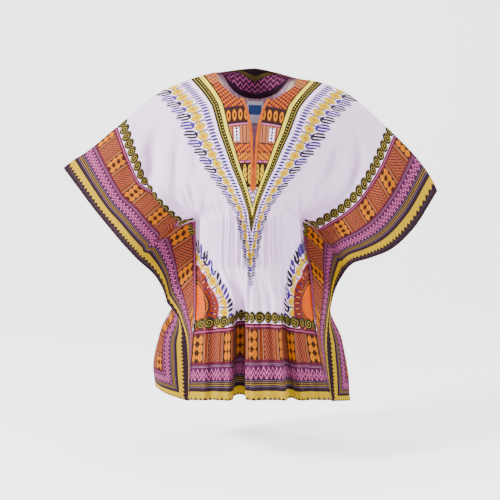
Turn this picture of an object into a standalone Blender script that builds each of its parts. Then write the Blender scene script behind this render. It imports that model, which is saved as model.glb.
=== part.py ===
"""A smocked-waist dashiki top, filled out and hollow, in metres.

The front faces -Y, +X is the viewer's right and +Z is up. Each panel is a sheet of cloth with a
place (across, down): across runs from -HALF_WIDTH to HALF_WIDTH in millimetres of flat cloth and
down runs from 0 at the shoulder to 1 at the hem. draped() gives the draped place of such a point.
"""

import bmesh
import bpy
import numpy as np

MM = 0.001

# The cloth, in millimetres
WALL = 1.5
SEAM_GAP = 0.3
HALF_WIDTH = 450.0
STITCH_ACROSS = 275.0
FRONT_LENGTH = 710.0

# The neck and slit, as fractions of the length or in millimetres of cloth
NECK_HALF_WIDTH = 85.0
NECK_DEPTH = {"front": 0.12, "back": 0.08}
SLIT_END = 0.38
SLIT_SPREAD = 60.0

# The smocked waist
SMOCK_TOP = 0.48
SMOCK_END = 0.62
GATHERS = 64
GATHER_HEIGHT = 2.2
SOFT_GATHERS = 20
SOFT_HEIGHT = 2.6
SOFT_FADE = 16.0

# Pieces laid on a panel
LAY_GAP = 0.8
FACING_GAP = 2.0
LABEL_GAP = 0.5
BINDING_THICK = 0.9
FACING_COLUMNS = 5
FACING_ROWS = 3.4
FACING_THICK = 0.8
LABEL_COLUMNS = 2
LABEL_ROWS = 1.9
LABEL_THICK = 0.8

# The shoulder line from the neck to the sleeve tip: across, x, z
SHOULDER = {
    -1: ((0, 0, 46), (85, -80, 39), (125, -121, 29), (165, -160, 14), (211, -198, -2), (275, -250, -43),
         (330, -298, -82), (390, -350, -124), (430, -385, -146), (450, -401, -159)),
    1: ((0, 0, 46), (85, 88, 26), (125, 128, 20), (165, 168, 6), (205, 200, -10), (275, 258, -60),
        (330, 299, -98), (390, 343, -144), (430, 371, -184), (450, 382, -207)),
}

# Lines that run down each panel: down, x, y, z
CENTRE = {
    "front": ((0, 0, 0, 47), (0.12, 0, -72, -15), (0.2, -1, -98, -70), (0.3, -2, -118, -140),
              (0.4, -4, -126, -205), (0.48, -6, -112, -253), (0.55, -8, -104, -300),
              (0.62, -9, -102, -344), (0.75, -7, -120, -428), (0.88, -7, -134, -524), (1, -7, -146, -618)),
    "back": ((0, 0, 0, 47), (0.08, 0, 60, 52), (0.15, 0, 90, 8), (0.27, 0, 108, -80), (0.4, 0, 104, -178),
             (0.48, -6, 88, -250), (0.55, -8, 84, -300), (0.62, -10, 88, -346), (0.75, -10, 116, -436),
             (0.88, -8, 136, -530), (1, -6, 150, -622)),
}
STITCH = {
    ("front", -1): ((0, -248, 0, -39), (0.15, -225, -42, -116), (0.3, -190, -62, -198),
                    (0.42, -146, -38, -246), (0.455, -130, -14, -256), (0.485, -122, -1.5, -271),
                    (0.55, -122, -1.2, -314), (0.62, -122, -1.2, -362), (0.72, -120, -34, -437),
                    (0.86, -126, -72, -531), (1, -133, -90, -632)),
    ("front", 1): ((0, 256, 0, -58), (0.15, 225, -42, -131), (0.3, 176, -62, -206), (0.42, 123, -38, -248),
                   (0.455, 106, -14, -258), (0.485, 98, -1.5, -273), (0.55, 101, -1.2, -314),
                   (0.62, 111, -1.2, -360),
                   (0.72, 116, -34, -437), (0.86, 128, -72, -531), (1, 155, -90, -632)),
    ("back", -1): ((0, -248, 0, -39), (0.15, -225, 44, -116), (0.3, -190, 60, -198), (0.42, -146, 38, -246),
                   (0.455, -130, 14, -256), (0.485, -122, 1.5, -271), (0.55, -122, 1.2, -314),
                   (0.62, -124, 3, -363),
                   (0.7, -158, 36, -428), (0.78, -200, 46, -505), (0.9, -220, 52, -592), (1, -216, 54, -636)),
    ("back", 1): ((0, 256, 0, -58), (0.15, 225, 44, -131), (0.3, 176, 60, -206), (0.42, 123, 38, -248),
                  (0.455, 106, 14, -258), (0.485, 98, 1.5, -273), (0.55, 101, 1.2, -314), (0.62, 112, 3, -361), (0.7, 142, 22, -439),
                  (0.78, 166, 36, -516), (0.9, 197, 44, -614), (1, 206, 46, -666)),
}
# The sleeve openings' edges down to SLEEVE_END, and the joined side edges below it
SLEEVE_END = {-1: 0.62, 1: 0.665}
SLEEVE_EDGE = {
    ("front", -1): ((0, -401, 0, -159), (0.1, -370, -20, -196), (0.22, -326, -36, -251),
                    (0.34, -283, -36, -304), (0.46, -245, -26, -349), (0.54, -211, -14, -384),
                    (0.58, -195, -6, -414), (0.62, -187, 0, -442)),
    ("front", 1): ((0, 382, 0, -207), (0.12, 328, -26, -285), (0.24, 279, -38, -327), (0.34, 236, -46, -343),
                   (0.41, 204, -40, -354), (0.5, 183, -20, -384), (0.58, 168, -6, -420),
                   (0.665, 158, 0, -468)),
    ("back", -1): ((0, -401, 0, -159), (0.1, -364, 24, -200), (0.22, -318, 42, -252), (0.34, -276, 42, -300),
                   (0.46, -236, 30, -346), (0.54, -205, 18, -384), (0.58, -193, 9, -414),
                   (0.62, -187, 0, -442)),
    ("back", 1): ((0, 382, 0, -207), (0.12, 320, 30, -280), (0.24, 270, 44, -320), (0.34, 228, 48, -338),
                  (0.41, 198, 42, -350), (0.5, 180, 24, -383), (0.58, 167, 9, -420), (0.63, 162, 2, -447),
                  (0.665, 158, 0, -468)),
}
SIDE_SEAM = {
    -1: ((0.62, -187, 0, -442), (0.68, -160, 3, -480), (0.76, -147, 6, -530), (0.88, -143, 8, -590),
         (1, -143, 10, -659)),
    1: ((0.665, 158, 0, -468), (0.72, 155, 3, -505), (0.79, 156, 6, -550), (0.89, 160, 8, -604),
        (1, 165, 10, -659)),
}

# How round the body is, how wide the turn into the wing is, how far the wing puffs and how far
# each panel's wing swells sideways: down, roundness, turn, puff, front swell, back swell
SHAPE = ((0, 0, 150, 0, 0, 0), (0.15, 0, 150, 16, 0, 0), (0.3, 0.1, 120, 20, 0, 0), (0.42, 0.5, 80, 14, 4, 4),
         (0.48, 1, 64, 3, 12, 12), (0.55, 1, 74, 1, 14, 16), (0.62, 1, 74, 1, 14, 14), (0.7, 0.95, 66, 3, 8, 12),
         (0.78, 0.9, 60, 0, 0, 26), (0.88, 0.8, 60, 0, 0, 22), (1, 0.7, 60, 0, 0, 14))

# Where the front hangs below the waist: from the centre, across and the share of the way to the stitch line
HIP_SHARE = {
    -1: ((0, 0), (20, 0.05), (62, 0.09), (112, 0.29), (155, 0.33), (275, 1), (330, 1.4)),
    1: ((0, 0), (80, 0.41), (113, 0.44), (157, 0.555), (190, 0.615), (275, 1), (330, 1.35)),
}
HIP_START = 0.62
HIP_WHOLE = 0.76

# Large folds, pushed in: panel, across, width, depth, down where each starts and is whole
FOLDS = (
    ("front", -87, 42, 50, 0.60, 0.84),
    ("front", 135, 32, 22, 0.62, 0.84),
    ("front", 42, 16, 4, 0.60, 0.74),
    ("front", -216, 24, 6, 0.64, 0.82),
    ("front", 232, 22, 6, 0.64, 0.84),
    ("back", 10, 30, 40, 0.60, 0.86),
    ("back", -88, 28, 22, 0.61, 0.80),
    ("back", 104, 28, 24, 0.61, 0.82),
    ("back", 190, 26, 16, 0.63, 0.84),
    ("back", -182, 26, 14, 0.63, 0.84),
)
# Drag folds of the chest and sleeves: panel, across and down of both ends, width, depth
DRAGS = (
    ("front", -150, 0.06, -248, 0.40, 22, 5),
    ("front", -196, 0.05, -330, 0.34, 24, 6),
    ("front", -262, 0.10, -262, 0.47, 20, 7),
    ("front", 152, 0.06, 246, 0.40, 22, 5),
    ("front", 200, 0.05, 322, 0.36, 24, 6),
    ("front", 258, 0.12, 262, 0.47, 20, 7),
    ("back", -170, 0.08, -252, 0.44, 24, 6),
    ("back", 176, 0.08, 254, 0.44, 24, 6),
    ("back", -240, 0.06, -350, 0.34, 26, 6),
    ("back", 244, 0.06, 342, 0.34, 26, 6),
)

COLUMNS = (0, 11, 22, 34, 48, 66, 85, 105, 128, 150, 170, 188, 206, 228, 246, 260, 270, 280, 292, 310, 335,
           364, 394, 424, 450)
ROWS_ABOVE = (0, 0.03, 0.065, 0.1, 0.14, 0.18, 0.22, 0.26, 0.3)
ROWS_BELOW = (0.39, 0.42, 0.445, 0.465, 0.48, 0.502, 0.526, 0.55, 0.574, 0.598, 0.62, 0.64, 0.665, 0.7,
              0.745, 0.8, 0.86, 0.93, 1)


def along(table, down):
    """Smooth values of a table's columns at the given places, with no overshoot between rows."""
    table = np.array(table, float)
    knots = table[:, 0]
    values = table[:, 1:]
    steps = np.diff(values, axis=0) / np.diff(knots)[:, None]
    before = steps[:-1]
    after = steps[1:]
    same_way = before * after > 0
    slopes = np.zeros_like(values)
    slopes[1:-1][same_way] = (2 * before * after)[same_way] / (before + after)[same_way]
    slopes[0] = steps[0]
    slopes[-1] = steps[-1]
    i = np.clip(np.searchsorted(knots, down, "right") - 1, 0, len(knots) - 2)
    width = knots[i + 1] - knots[i]
    t = ((down - knots[i]) / width)[:, None]
    width = width[:, None]
    start = (2 * t**3 - 3 * t**2 + 1) * values[i] + (t**3 - 2 * t**2 + t) * width * slopes[i]
    end = (3 * t**2 - 2 * t**3) * values[i + 1] + (t**3 - t**2) * width * slopes[i + 1]
    return start + end


def ease(t):
    """0 to 1 with flat ends."""
    t = np.clip(t, 0, 1)
    return t * t * (3 - 2 * t)


def faces_front(panel):
    return -1.0 if panel == "front" else 1.0


def half(panel, side, across, down):
    """One half of a panel, before its folds: across is the distance from the centre."""
    centre = along(CENTRE[panel], down)
    stitch = along(STITCH[panel, side], down)
    joined = (down > SLEEVE_END[side] - 1e-6)[:, None]
    edge = np.where(joined, along(SIDE_SEAM[side], down), along(SLEEVE_EDGE[panel, side], down))
    roundness, turn, puff, front_swell, back_swell = along(SHAPE, down).T
    t = across / STITCH_ACROSS
    hips = ease((down - HIP_START) / (HIP_WHOLE - HIP_START)) if panel == "front" else 0
    body_x = t + hips * (along(HIP_SHARE[side], across)[:, 0] - t)
    inside = np.minimum(t, 1)
    body_y = np.cos(inside * np.pi / 2)
    body_y += roundness * ((1 - inside**2.6) ** 0.9 - body_y)
    body = np.stack([
        centre[:, 0] + (stitch[:, 0] - centre[:, 0]) * body_x,
        stitch[:, 1] + (centre[:, 1] - stitch[:, 1]) * body_y,
        centre[:, 2] + (stitch[:, 2] - centre[:, 2]) * t * t,
    ], 1)
    q = (across - STITCH_ACROSS) / (HALF_WIDTH - STITCH_ACROSS)
    wing = stitch + (edge - stitch) * q[:, None]
    wing[:, 1] = stitch[:, 1] + (edge[:, 1] - stitch[:, 1]) * np.maximum(q, 0)
    arch = np.sin(np.clip(q, 0, 1) * np.pi)
    wing[:, 1] += faces_front(panel) * puff * arch
    wing[:, 0] += side * arch * (front_swell if panel == "front" else back_swell)
    share = ease((across - STITCH_ACROSS) / turn + 0.5)[:, None]
    return body * (1 - share) + wing * share


def unfolded(panel, side, across, down):
    """One half with the shoulder line's own shape, which dies away down the cloth."""
    place = half(panel, side, across, down)
    top = half(panel, side, across, np.zeros_like(down))
    line = along(SHOULDER[side], across)
    fade = np.clip(1 - down / 0.34, 0, 1) ** 2
    place[:, 0] += fade * (line[:, 0] - top[:, 0])
    place[:, 2] += fade * (line[:, 1] - top[:, 2])
    return place


def fold_push(panel, across, down):
    """How far the large folds push the cloth in towards the body, in millimetres."""
    push = np.zeros_like(across)
    for name, middle, width, depth, start, whole in FOLDS:
        if name == panel:
            reach = ease((down - start) / (whole - start))
            push += depth * reach * np.exp(-((across - middle) / width) ** 2)
    for name, across_a, down_a, across_b, down_b, width, depth in DRAGS:
        if name == panel:
            t = np.clip((down - down_a) / (down_b - down_a), 0, 1)
            middle = across_a + (across_b - across_a) * t
            ends = np.sin(np.pi * t) ** 0.8
            push += depth * ends * np.exp(-((across - middle) / width) ** 2)
    return push


def draped(panel, across, down):
    """The inner face of a panel in millimetres. Columns of across and down, one place each."""
    across, down = np.broadcast_arrays(np.asarray(across, float), np.asarray(down, float))
    place = np.where(
        across[:, None] < 0,
        unfolded(panel, -1, np.abs(across), down),
        unfolded(panel, 1, np.abs(across), down),
    )
    place[:, 1] -= faces_front(panel) * fold_push(panel, across, down)
    return place


def outward(panel, across, down):
    """Unit normals of the inner face, away from the body."""
    step = 1.5
    fall = step / FRONT_LENGTH
    side_a = np.clip(across - step, -HALF_WIDTH, HALF_WIDTH)
    side_b = np.clip(across + step, -HALF_WIDTH, HALF_WIDTH)
    over = draped(panel, side_b, down) - draped(panel, side_a, down)
    under = draped(panel, across, np.clip(down + fall, 0, 1)) - draped(panel, across, np.clip(down - fall, 0, 1))
    normal = np.cross(under, over) * -faces_front(panel)
    return unit(normal)


def unit(v):
    return v / np.linalg.norm(v, axis=-1, keepdims=True)


def seam(panel, across, down, back_across, back_down):
    """At a joined edge: the inner place of this panel's edge and the direction of its thickness.

    Both panels' walls end on one plane, SEAM_GAP apart: (back_across, back_down) is a place just
    inside the edge.
    """
    other = "back" if panel == "front" else "front"
    out = {}
    travel = {}
    here = draped(panel, across, down)
    if np.allclose(down, back_down):
        line = draped(panel, across, down - 0.004) - here
    else:
        line = draped(panel, back_across - np.sign(across), down) - here
    line = unit(line)
    for name in (panel, other):
        way = here - draped(name, back_across, back_down)
        travel[name] = unit(way - (way * line).sum(1)[:, None] * line)
        out[name] = outward(name, back_across, back_down)
    thick = unit(out[panel] + out[other] + travel[panel] + travel[other])
    apart = out[panel] - out[other] + travel[other] - travel[panel]
    apart = unit(apart - (apart * thick).sum(1)[:, None] * thick)
    return here + apart * SEAM_GAP / 2, thick


def relief(panel, across, down):
    """The smocking's gathers and the soft ones they run into, outwards in millimetres.

    The soft ones fade where a large fold turns in.
    """
    inside = ease((STITCH_ACROSS - 20 - np.abs(across)) / 16)
    fine = ease((down - SMOCK_TOP + 0.03) / 0.03) * ease((SMOCK_END + 0.035 - down) / 0.035)
    soft = ease((down - 0.38) / 0.09) * ease((0.8 - down) / 0.15)
    soft = soft * np.clip(1 - fold_push(panel, across, down) / SOFT_FADE, 0, 1)
    wave = 0.5 - 0.5 * np.cos(np.pi * (across + STITCH_ACROSS) / STITCH_ACROSS * GATHERS)
    slow = 0.5 - 0.5 * np.cos(np.pi * (across + STITCH_ACROSS) / STITCH_ACROSS * SOFT_GATHERS)
    return inside * (GATHER_HEIGHT * fine * wave + SOFT_HEIGHT * soft * slow)


def neck_cut(panel, across):
    """How far down the neck hole reaches at a distance from the centre, as a share of the length."""
    t = np.clip(across / NECK_HALF_WIDTH, 0, 1)
    return NECK_DEPTH[panel] * np.sqrt(1 - t**2)


def slit_opening(down):
    """Half the width of the slit in millimetres. It flares at the neck and closes at SLIT_END."""
    t = np.clip((SLIT_END - down) / (SLIT_END - NECK_DEPTH["front"]), 0, 1)
    return 2.5 * np.sqrt(t) + 26 * t**4


def cloth_row(panel, side, columns, row):
    """The (across, down) places of a row of one half, following the neck hole and the slit."""
    distance = np.array(columns, float)
    down = row + neck_cut(panel, distance) * np.clip(1 - row / SMOCK_TOP, 0, 1)
    if panel == "front":
        distance = distance + slit_opening(down) * np.clip(1 - distance / SLIT_SPREAD, 0, 1)
    return side * distance, down


def panel_rows(panel):
    cut = NECK_DEPTH[panel]
    slit_row = (SLIT_END - cut) / (1 - cut / SMOCK_TOP)
    rows = ROWS_ABOVE + (slit_row,) + ROWS_BELOW
    return rows, len(ROWS_ABOVE) if panel == "front" else 0


def wall_points(panel, across, down, raised):
    """Inner and outer points of places on a panel, with the joined edges mitred."""
    inner = draped(panel, across, down)
    normal = outward(panel, across, down)
    at_top = (down < 1e-6) & (np.abs(across) > NECK_HALF_WIDTH - 1e-6)
    ends = np.where(across < 0, SLEEVE_END[-1], SLEEVE_END[1])
    at_side = (np.abs(across) > HALF_WIDTH - 1e-6) & (down > ends - 1e-6)
    tip = (np.abs(across) > HALF_WIDTH - 1e-6) & (down < 1e-6)
    for joined, back_across, back_down in (
        (at_top, np.clip(across, -HALF_WIDTH + 4, HALF_WIDTH - 4), down + 0.012),
        (at_side & ~tip, across * (1 - 10 / HALF_WIDTH), down),
    ):
        if joined.any():
            inner[joined], normal[joined] = seam(
                panel, across[joined], down[joined], back_across[joined], back_down[joined]
            )
    height = relief(panel, across, down) if raised else 0
    return inner, inner + normal * (WALL + height)[:, None] if raised else inner + normal * WALL


def smock_columns():
    """Columns of the smocked rows: two for each gather, then the wing's own."""
    pitch = STITCH_ACROSS / GATHERS
    last = STITCH_ACROSS - 24
    fine = [pitch * i for i in range(GATHERS) if pitch * i < last]
    return tuple(fine) + tuple(c for c in COLUMNS if c > last + 4)


def zip_rows(above, below):
    """Triangles between two rows of (id, place) pairs that may differ in number."""
    faces = []
    i = 0
    j = 0
    while i < len(above) - 1 or j < len(below) - 1:
        if j == len(below) - 1:
            step_above = True
        elif i == len(above) - 1:
            step_above = False
        else:
            step_above = above[i + 1][1] <= below[j + 1][1]
        if step_above:
            faces.append((above[i][0], below[j][0], above[i + 1][0]))
            i += 1
        else:
            faces.append((above[i][0], below[j][0], below[j + 1][0]))
            j += 1
    return faces


def make_panel(panel):
    """The closed wall of a panel: plain inner face, gathered outer face, all its edges."""
    rows, slit_rows = panel_rows(panel)
    points = []
    faces = []
    middle = {}
    for side in (-1, 1):
        inner_rows = []
        outer_rows = []
        for number, row in enumerate(rows):
            across, down = cloth_row(panel, side, COLUMNS, row)
            inner, outer = wall_points(panel, across, down, True)
            smocked = SMOCK_TOP - 0.02 < row < SMOCK_END + 0.03
            if smocked:
                across_fine, down_fine = cloth_row(panel, side, smock_columns(), row)
                outer = wall_points(panel, across_fine, down_fine, True)[1]
            else:
                across_fine = across
            welded = number >= slit_rows
            ids = []
            for layer, places, spread in ((0, inner, across), (1, outer, across_fine)):
                chain = []
                for k, place in enumerate(places):
                    if k == 0 and welded and (number, layer) in middle:
                        chain.append((middle[number, layer], abs(spread[k])))
                        continue
                    chain.append((len(points), abs(spread[k])))
                    if k == 0 and welded:
                        middle[number, layer] = len(points)
                    points.append(place)
                ids.append(chain)
            inner_rows.append(ids[0])
            outer_rows.append(ids[1])
        for number in range(len(rows) - 1):
            faces += zip_rows(outer_rows[number], outer_rows[number + 1])
            faces += zip_rows(inner_rows[number], inner_rows[number + 1])
        slit = slice(0, slit_rows + 1)
        rims = (
            (inner_rows[0], outer_rows[0]),
            (inner_rows[-1], outer_rows[-1]),
            ([r[-1] for r in inner_rows], [r[-1] for r in outer_rows]),
            ([r[0] for r in inner_rows[slit]], [r[0] for r in outer_rows[slit]]),
        )
        for inner, outer in rims:
            for k in range(len(inner) - 1):
                faces.append((inner[k][0], inner[k + 1][0], outer[k + 1][0], outer[k][0]))
    return points, faces


def sheet_between(under, over):
    """Points and faces of a closed slab from two grids of points of one shape."""
    rows, columns = under.shape[:2]
    points = np.concatenate([under.reshape(-1, 3), over.reshape(-1, 3)])
    second = rows * columns
    faces = []
    for r in range(rows - 1):
        for c in range(columns - 1):
            a = r * columns + c
            for triangle in ((a, a + 1, a + columns + 1), (a, a + columns + 1, a + columns)):
                faces.append(triangle[::-1])
                faces.append(tuple(second + i for i in triangle))
    rim = [c for c in range(columns)]
    rim += [r * columns + columns - 1 for r in range(1, rows)]
    rim += [(rows - 1) * columns + c for c in range(columns - 2, -1, -1)]
    rim += [r * columns for r in range(rows - 2, 0, -1)]
    for k in range(len(rim)):
        a = rim[k]
        b = rim[(k + 1) % len(rim)]
        faces.append((a, b, second + b, second + a))
    return list(points), faces


def laid(panel, sides, columns, place, gap, thick):
    """Two grids of points on a panel's own mesh, gap and gap + thick outside it (inside if negative).

    sides is -1 or 1, columns numbers into COLUMNS and place counts rows, with fractions.
    """
    sides, columns, place = np.broadcast_arrays(sides, columns, place)
    rows = panel_rows(panel)[0]
    points = np.zeros((*place.shape, 3))
    normals = np.zeros((*place.shape, 3))
    for at in np.ndindex(place.shape):
        whole = int(place[at])
        share = place[at] - whole
        for row, weight in ((whole, 1 - share), (whole + 1, share)):
            across, down = cloth_row(panel, sides[at], [COLUMNS[columns[at]]], rows[row])
            inner, outer = wall_points(panel, across, down, False)
            points[at] += weight * (outer if gap > 0 else inner)[0]
            normals[at] += weight * (outer - inner)[0]
    for _ in range(3):
        padded = np.pad(normals, ((1, 1), (1, 1), (0, 0)), "edge")
        normals = padded[1:-1, 1:-1] * 2 + padded[:-2, 1:-1] + padded[2:, 1:-1] + padded[1:-1, :-2] + padded[1:-1, 2:]
        normals = unit(normals)
    return points + normals * gap, points + normals * (gap + thick)


def binding():
    """The slit's edge band, down one side and up the other, mitred at the bottom."""
    end = len(ROWS_ABOVE)
    down_one = [0.2, *range(1, end)]
    inner = np.array([*down_one, end - 0.3, end, end - 0.3, *down_one[::-1]], float)
    outer = np.array([*down_one, end, end + 0.4, end, *down_one[::-1]], float)
    sides = np.where(np.arange(len(inner)) <= end + 1, -1, 1)[:, None]
    columns = np.ones((len(inner), 2), int)
    columns[:, 0] = 0
    columns[end + 1, 1] = 0
    return sheet_between(*laid("front", sides, columns, np.stack([inner, outer], 1), LAY_GAP, BINDING_THICK))


def facing():
    """The crescent inside the back of the neck."""
    numbers = np.arange(-FACING_COLUMNS, FACING_COLUMNS + 1)
    reach = np.array([COLUMNS[n] for n in abs(numbers)]) / NECK_HALF_WIDTH
    deep = FACING_ROWS * (0.3 + 0.7 * np.sqrt(1 - reach**2))
    place = 0.3 + (deep - 0.3) * np.linspace(0, 1, 5)[:, None]
    return sheet_between(*laid("back", np.where(numbers < 0, -1, 1), abs(numbers), place, -FACING_GAP, -FACING_THICK))


def label():
    """The plain label, which hangs below the facing inside the back."""
    numbers = np.arange(-LABEL_COLUMNS, LABEL_COLUMNS + 1)
    place = FACING_ROWS + 0.2 + np.linspace(0, LABEL_ROWS, 5)[:, None]
    return sheet_between(*laid("back", np.where(numbers < 0, -1, 1), abs(numbers), place, -LABEL_GAP, -LABEL_THICK))


def add(name, points, faces, colour, roughness):
    mesh = bpy.data.meshes.new(name)
    mesh.from_pydata([tuple(np.array(p) * MM) for p in points], [], faces)
    shape = bmesh.new()
    shape.from_mesh(mesh)
    bmesh.ops.recalc_face_normals(shape, faces=shape.faces)
    shape.to_mesh(mesh)
    shape.free()
    obj = bpy.data.objects.new(name, mesh)
    bpy.context.scene.collection.objects.link(obj)
    material = bpy.data.materials.new(name)
    material.use_nodes = True
    shader = material.node_tree.nodes["Principled BSDF"]
    shader.inputs["Base Color"].default_value = (*colour, 1)
    shader.inputs["Roughness"].default_value = roughness
    shader.inputs["Metallic"].default_value = 0
    mesh.materials.append(material)


def main():
    for old in list(bpy.data.objects):
        bpy.data.objects.remove(old, do_unlink=True)
    add("front", *make_panel("front"), (0.76, 0.71, 0.78), 0.85)
    add("back", *make_panel("back"), (0.74, 0.69, 0.76), 0.85)
    add("slit_binding", *binding(), (0.75, 0.18, 0.02), 0.8)
    add("neck_facing", *facing(), (0.17, 0.05, 0.15), 0.85)
    add("label", *label(), (0.8, 0.78, 0.8), 0.6)


if __name__ == "__main__":
    main()
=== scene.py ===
"""Looks for the smocked dashiki top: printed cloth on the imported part's form, its sewing and a studio.

A place on the cloth is (across, down): across runs from -HALF_WIDTH to HALF_WIDTH in millimetres of
flat cloth, and down from 0 at the shoulder to 1 at the hem. draped() gives where such a place hangs.
"""

import bpy
import numpy as np
from bpy.props import FloatProperty, FloatVectorProperty, PointerProperty
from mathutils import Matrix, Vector


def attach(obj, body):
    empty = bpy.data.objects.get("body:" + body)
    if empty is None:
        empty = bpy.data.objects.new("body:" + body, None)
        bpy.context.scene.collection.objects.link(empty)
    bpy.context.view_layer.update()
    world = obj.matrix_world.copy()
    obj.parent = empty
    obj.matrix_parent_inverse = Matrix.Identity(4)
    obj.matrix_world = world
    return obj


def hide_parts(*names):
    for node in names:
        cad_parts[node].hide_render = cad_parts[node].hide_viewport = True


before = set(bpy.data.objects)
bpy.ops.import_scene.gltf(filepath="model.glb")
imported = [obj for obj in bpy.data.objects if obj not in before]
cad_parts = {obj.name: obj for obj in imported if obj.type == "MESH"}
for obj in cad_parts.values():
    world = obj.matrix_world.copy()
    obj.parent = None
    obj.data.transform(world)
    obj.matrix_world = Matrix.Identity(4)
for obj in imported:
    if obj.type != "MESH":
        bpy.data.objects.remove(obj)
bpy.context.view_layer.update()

bl_info = {
    "name": "Smocked dashiki top",
    "version": (1, 0, 0),
    "blender": (4, 5, 0),
    "location": "3D View > Sidebar > Dashiki",
    "description": "Builds the printed cloth, sewing and studio of a dashiki top on its packed part",
    "category": "Object",
}

MM = 0.001

# The cloth, in millimetres, as in the part's source
HALF_WIDTH = 450.0
STITCH_ACROSS = 275.0
LENGTH = 710.0
NECK_HALF_WIDTH = 85.0
NECK_DEPTH = {"front": 0.12, "back": 0.08}
SLIT_END = 0.38
SLIT_SPREAD = 60.0
SMOCK_TOP = 0.48
SMOCK_END = 0.62
GATHERS = 64
SLIT_ROW = (SLIT_END - NECK_DEPTH["front"]) / (1 - NECK_DEPTH["front"] / SMOCK_TOP)

# The shoulder line from the neck to the sleeve tip: across, x, z
SHOULDER = {
    -1: ((0, 0, 46), (85, -80, 39), (125, -121, 29), (165, -160, 14), (211, -198, -2), (275, -250, -43),
         (330, -298, -82), (390, -350, -124), (430, -385, -146), (450, -401, -159)),
    1: ((0, 0, 46), (85, 88, 26), (125, 128, 20), (165, 168, 6), (205, 200, -10), (275, 258, -60),
        (330, 299, -98), (390, 343, -144), (430, 371, -184), (450, 382, -207)),
}
# Lines that run down each panel: down, x, y, z
CENTRE = {
    "front": ((0, 0, 0, 47), (0.12, 0, -72, -15), (0.2, -1, -98, -70), (0.3, -2, -118, -140),
              (0.4, -4, -126, -205), (0.48, -6, -112, -253), (0.55, -8, -104, -300),
              (0.62, -9, -102, -344), (0.75, -7, -120, -428), (0.88, -7, -134, -524), (1, -7, -146, -618)),
    "back": ((0, 0, 0, 47), (0.08, 0, 60, 52), (0.15, 0, 90, 8), (0.27, 0, 108, -80), (0.4, 0, 104, -178),
             (0.48, -6, 88, -250), (0.55, -8, 84, -300), (0.62, -10, 88, -346), (0.75, -10, 116, -436),
             (0.88, -8, 136, -530), (1, -6, 150, -622)),
}
STITCH = {
    ("front", -1): ((0, -248, 0, -39), (0.15, -225, -42, -116), (0.3, -190, -62, -198),
                    (0.42, -146, -38, -246), (0.455, -130, -14, -256), (0.485, -122, -1.5, -271),
                    (0.55, -122, -1.2, -314), (0.62, -122, -1.2, -362), (0.72, -120, -34, -437),
                    (0.86, -126, -72, -531), (1, -133, -90, -632)),
    ("front", 1): ((0, 256, 0, -58), (0.15, 225, -42, -131), (0.3, 176, -62, -206), (0.42, 123, -38, -248),
                   (0.455, 106, -14, -258), (0.485, 98, -1.5, -273), (0.55, 101, -1.2, -314),
                   (0.62, 111, -1.2, -360), (0.72, 116, -34, -437), (0.86, 128, -72, -531),
                   (1, 155, -90, -632)),
    ("back", -1): ((0, -248, 0, -39), (0.15, -225, 44, -116), (0.3, -190, 60, -198), (0.42, -146, 38, -246),
                   (0.455, -130, 14, -256), (0.485, -122, 1.5, -271), (0.55, -122, 1.2, -314),
                   (0.62, -124, 3, -363), (0.7, -158, 36, -428), (0.78, -200, 46, -505),
                   (0.9, -220, 52, -592), (1, -216, 54, -636)),
    ("back", 1): ((0, 256, 0, -58), (0.15, 225, 44, -131), (0.3, 176, 60, -206), (0.42, 123, 38, -248),
                  (0.455, 106, 14, -258), (0.485, 98, 1.5, -273), (0.55, 101, 1.2, -314),
                  (0.62, 112, 3, -361), (0.7, 142, 22, -439), (0.78, 166, 36, -516), (0.9, 197, 44, -614),
                  (1, 206, 46, -666)),
}
# The sleeve openings' edges down to SLEEVE_END, and the joined side edges below it
SLEEVE_END = {-1: 0.62, 1: 0.665}
SLEEVE_EDGE = {
    ("front", -1): ((0, -401, 0, -159), (0.1, -370, -20, -196), (0.22, -326, -36, -251),
                    (0.34, -283, -36, -304), (0.46, -245, -26, -349), (0.54, -211, -14, -384),
                    (0.58, -195, -6, -414), (0.62, -187, 0, -442)),
    ("front", 1): ((0, 382, 0, -207), (0.12, 328, -26, -285), (0.24, 279, -38, -327),
                   (0.34, 236, -46, -343), (0.41, 204, -40, -354), (0.5, 183, -20, -384),
                   (0.58, 168, -6, -420), (0.665, 158, 0, -468)),
    ("back", -1): ((0, -401, 0, -159), (0.1, -364, 24, -200), (0.22, -318, 42, -252),
                   (0.34, -276, 42, -300), (0.46, -236, 30, -346), (0.54, -205, 18, -384),
                   (0.58, -193, 9, -414), (0.62, -187, 0, -442)),
    ("back", 1): ((0, 382, 0, -207), (0.12, 320, 30, -280), (0.24, 270, 44, -320), (0.34, 228, 48, -338),
                  (0.41, 198, 42, -350), (0.5, 180, 24, -383), (0.58, 167, 9, -420), (0.63, 162, 2, -447),
                  (0.665, 158, 0, -468)),
}
SIDE_SEAM = {
    -1: ((0.62, -187, 0, -442), (0.68, -160, 3, -480), (0.76, -147, 6, -530), (0.88, -143, 8, -590),
         (1, -143, 10, -659)),
    1: ((0.665, 158, 0, -468), (0.72, 155, 3, -505), (0.79, 156, 6, -550), (0.89, 160, 8, -604),
        (1, 165, 10, -659)),
}
# Down, roundness, turn into the wing, puff, front swell, back swell
SHAPE = (
    (0, 0, 150, 0, 0, 0),
    (0.15, 0, 150, 16, 0, 0),
    (0.3, 0.1, 120, 20, 0, 0),
    (0.42, 0.5, 80, 14, 4, 4),
    (0.48, 1, 64, 3, 12, 12),
    (0.55, 1, 74, 1, 14, 16),
    (0.62, 1, 74, 1, 14, 14),
    (0.7, 0.95, 66, 3, 8, 12),
    (0.78, 0.9, 60, 0, 0, 26),
    (0.88, 0.8, 60, 0, 0, 22),
    (1, 0.7, 60, 0, 0, 14),
)
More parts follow.
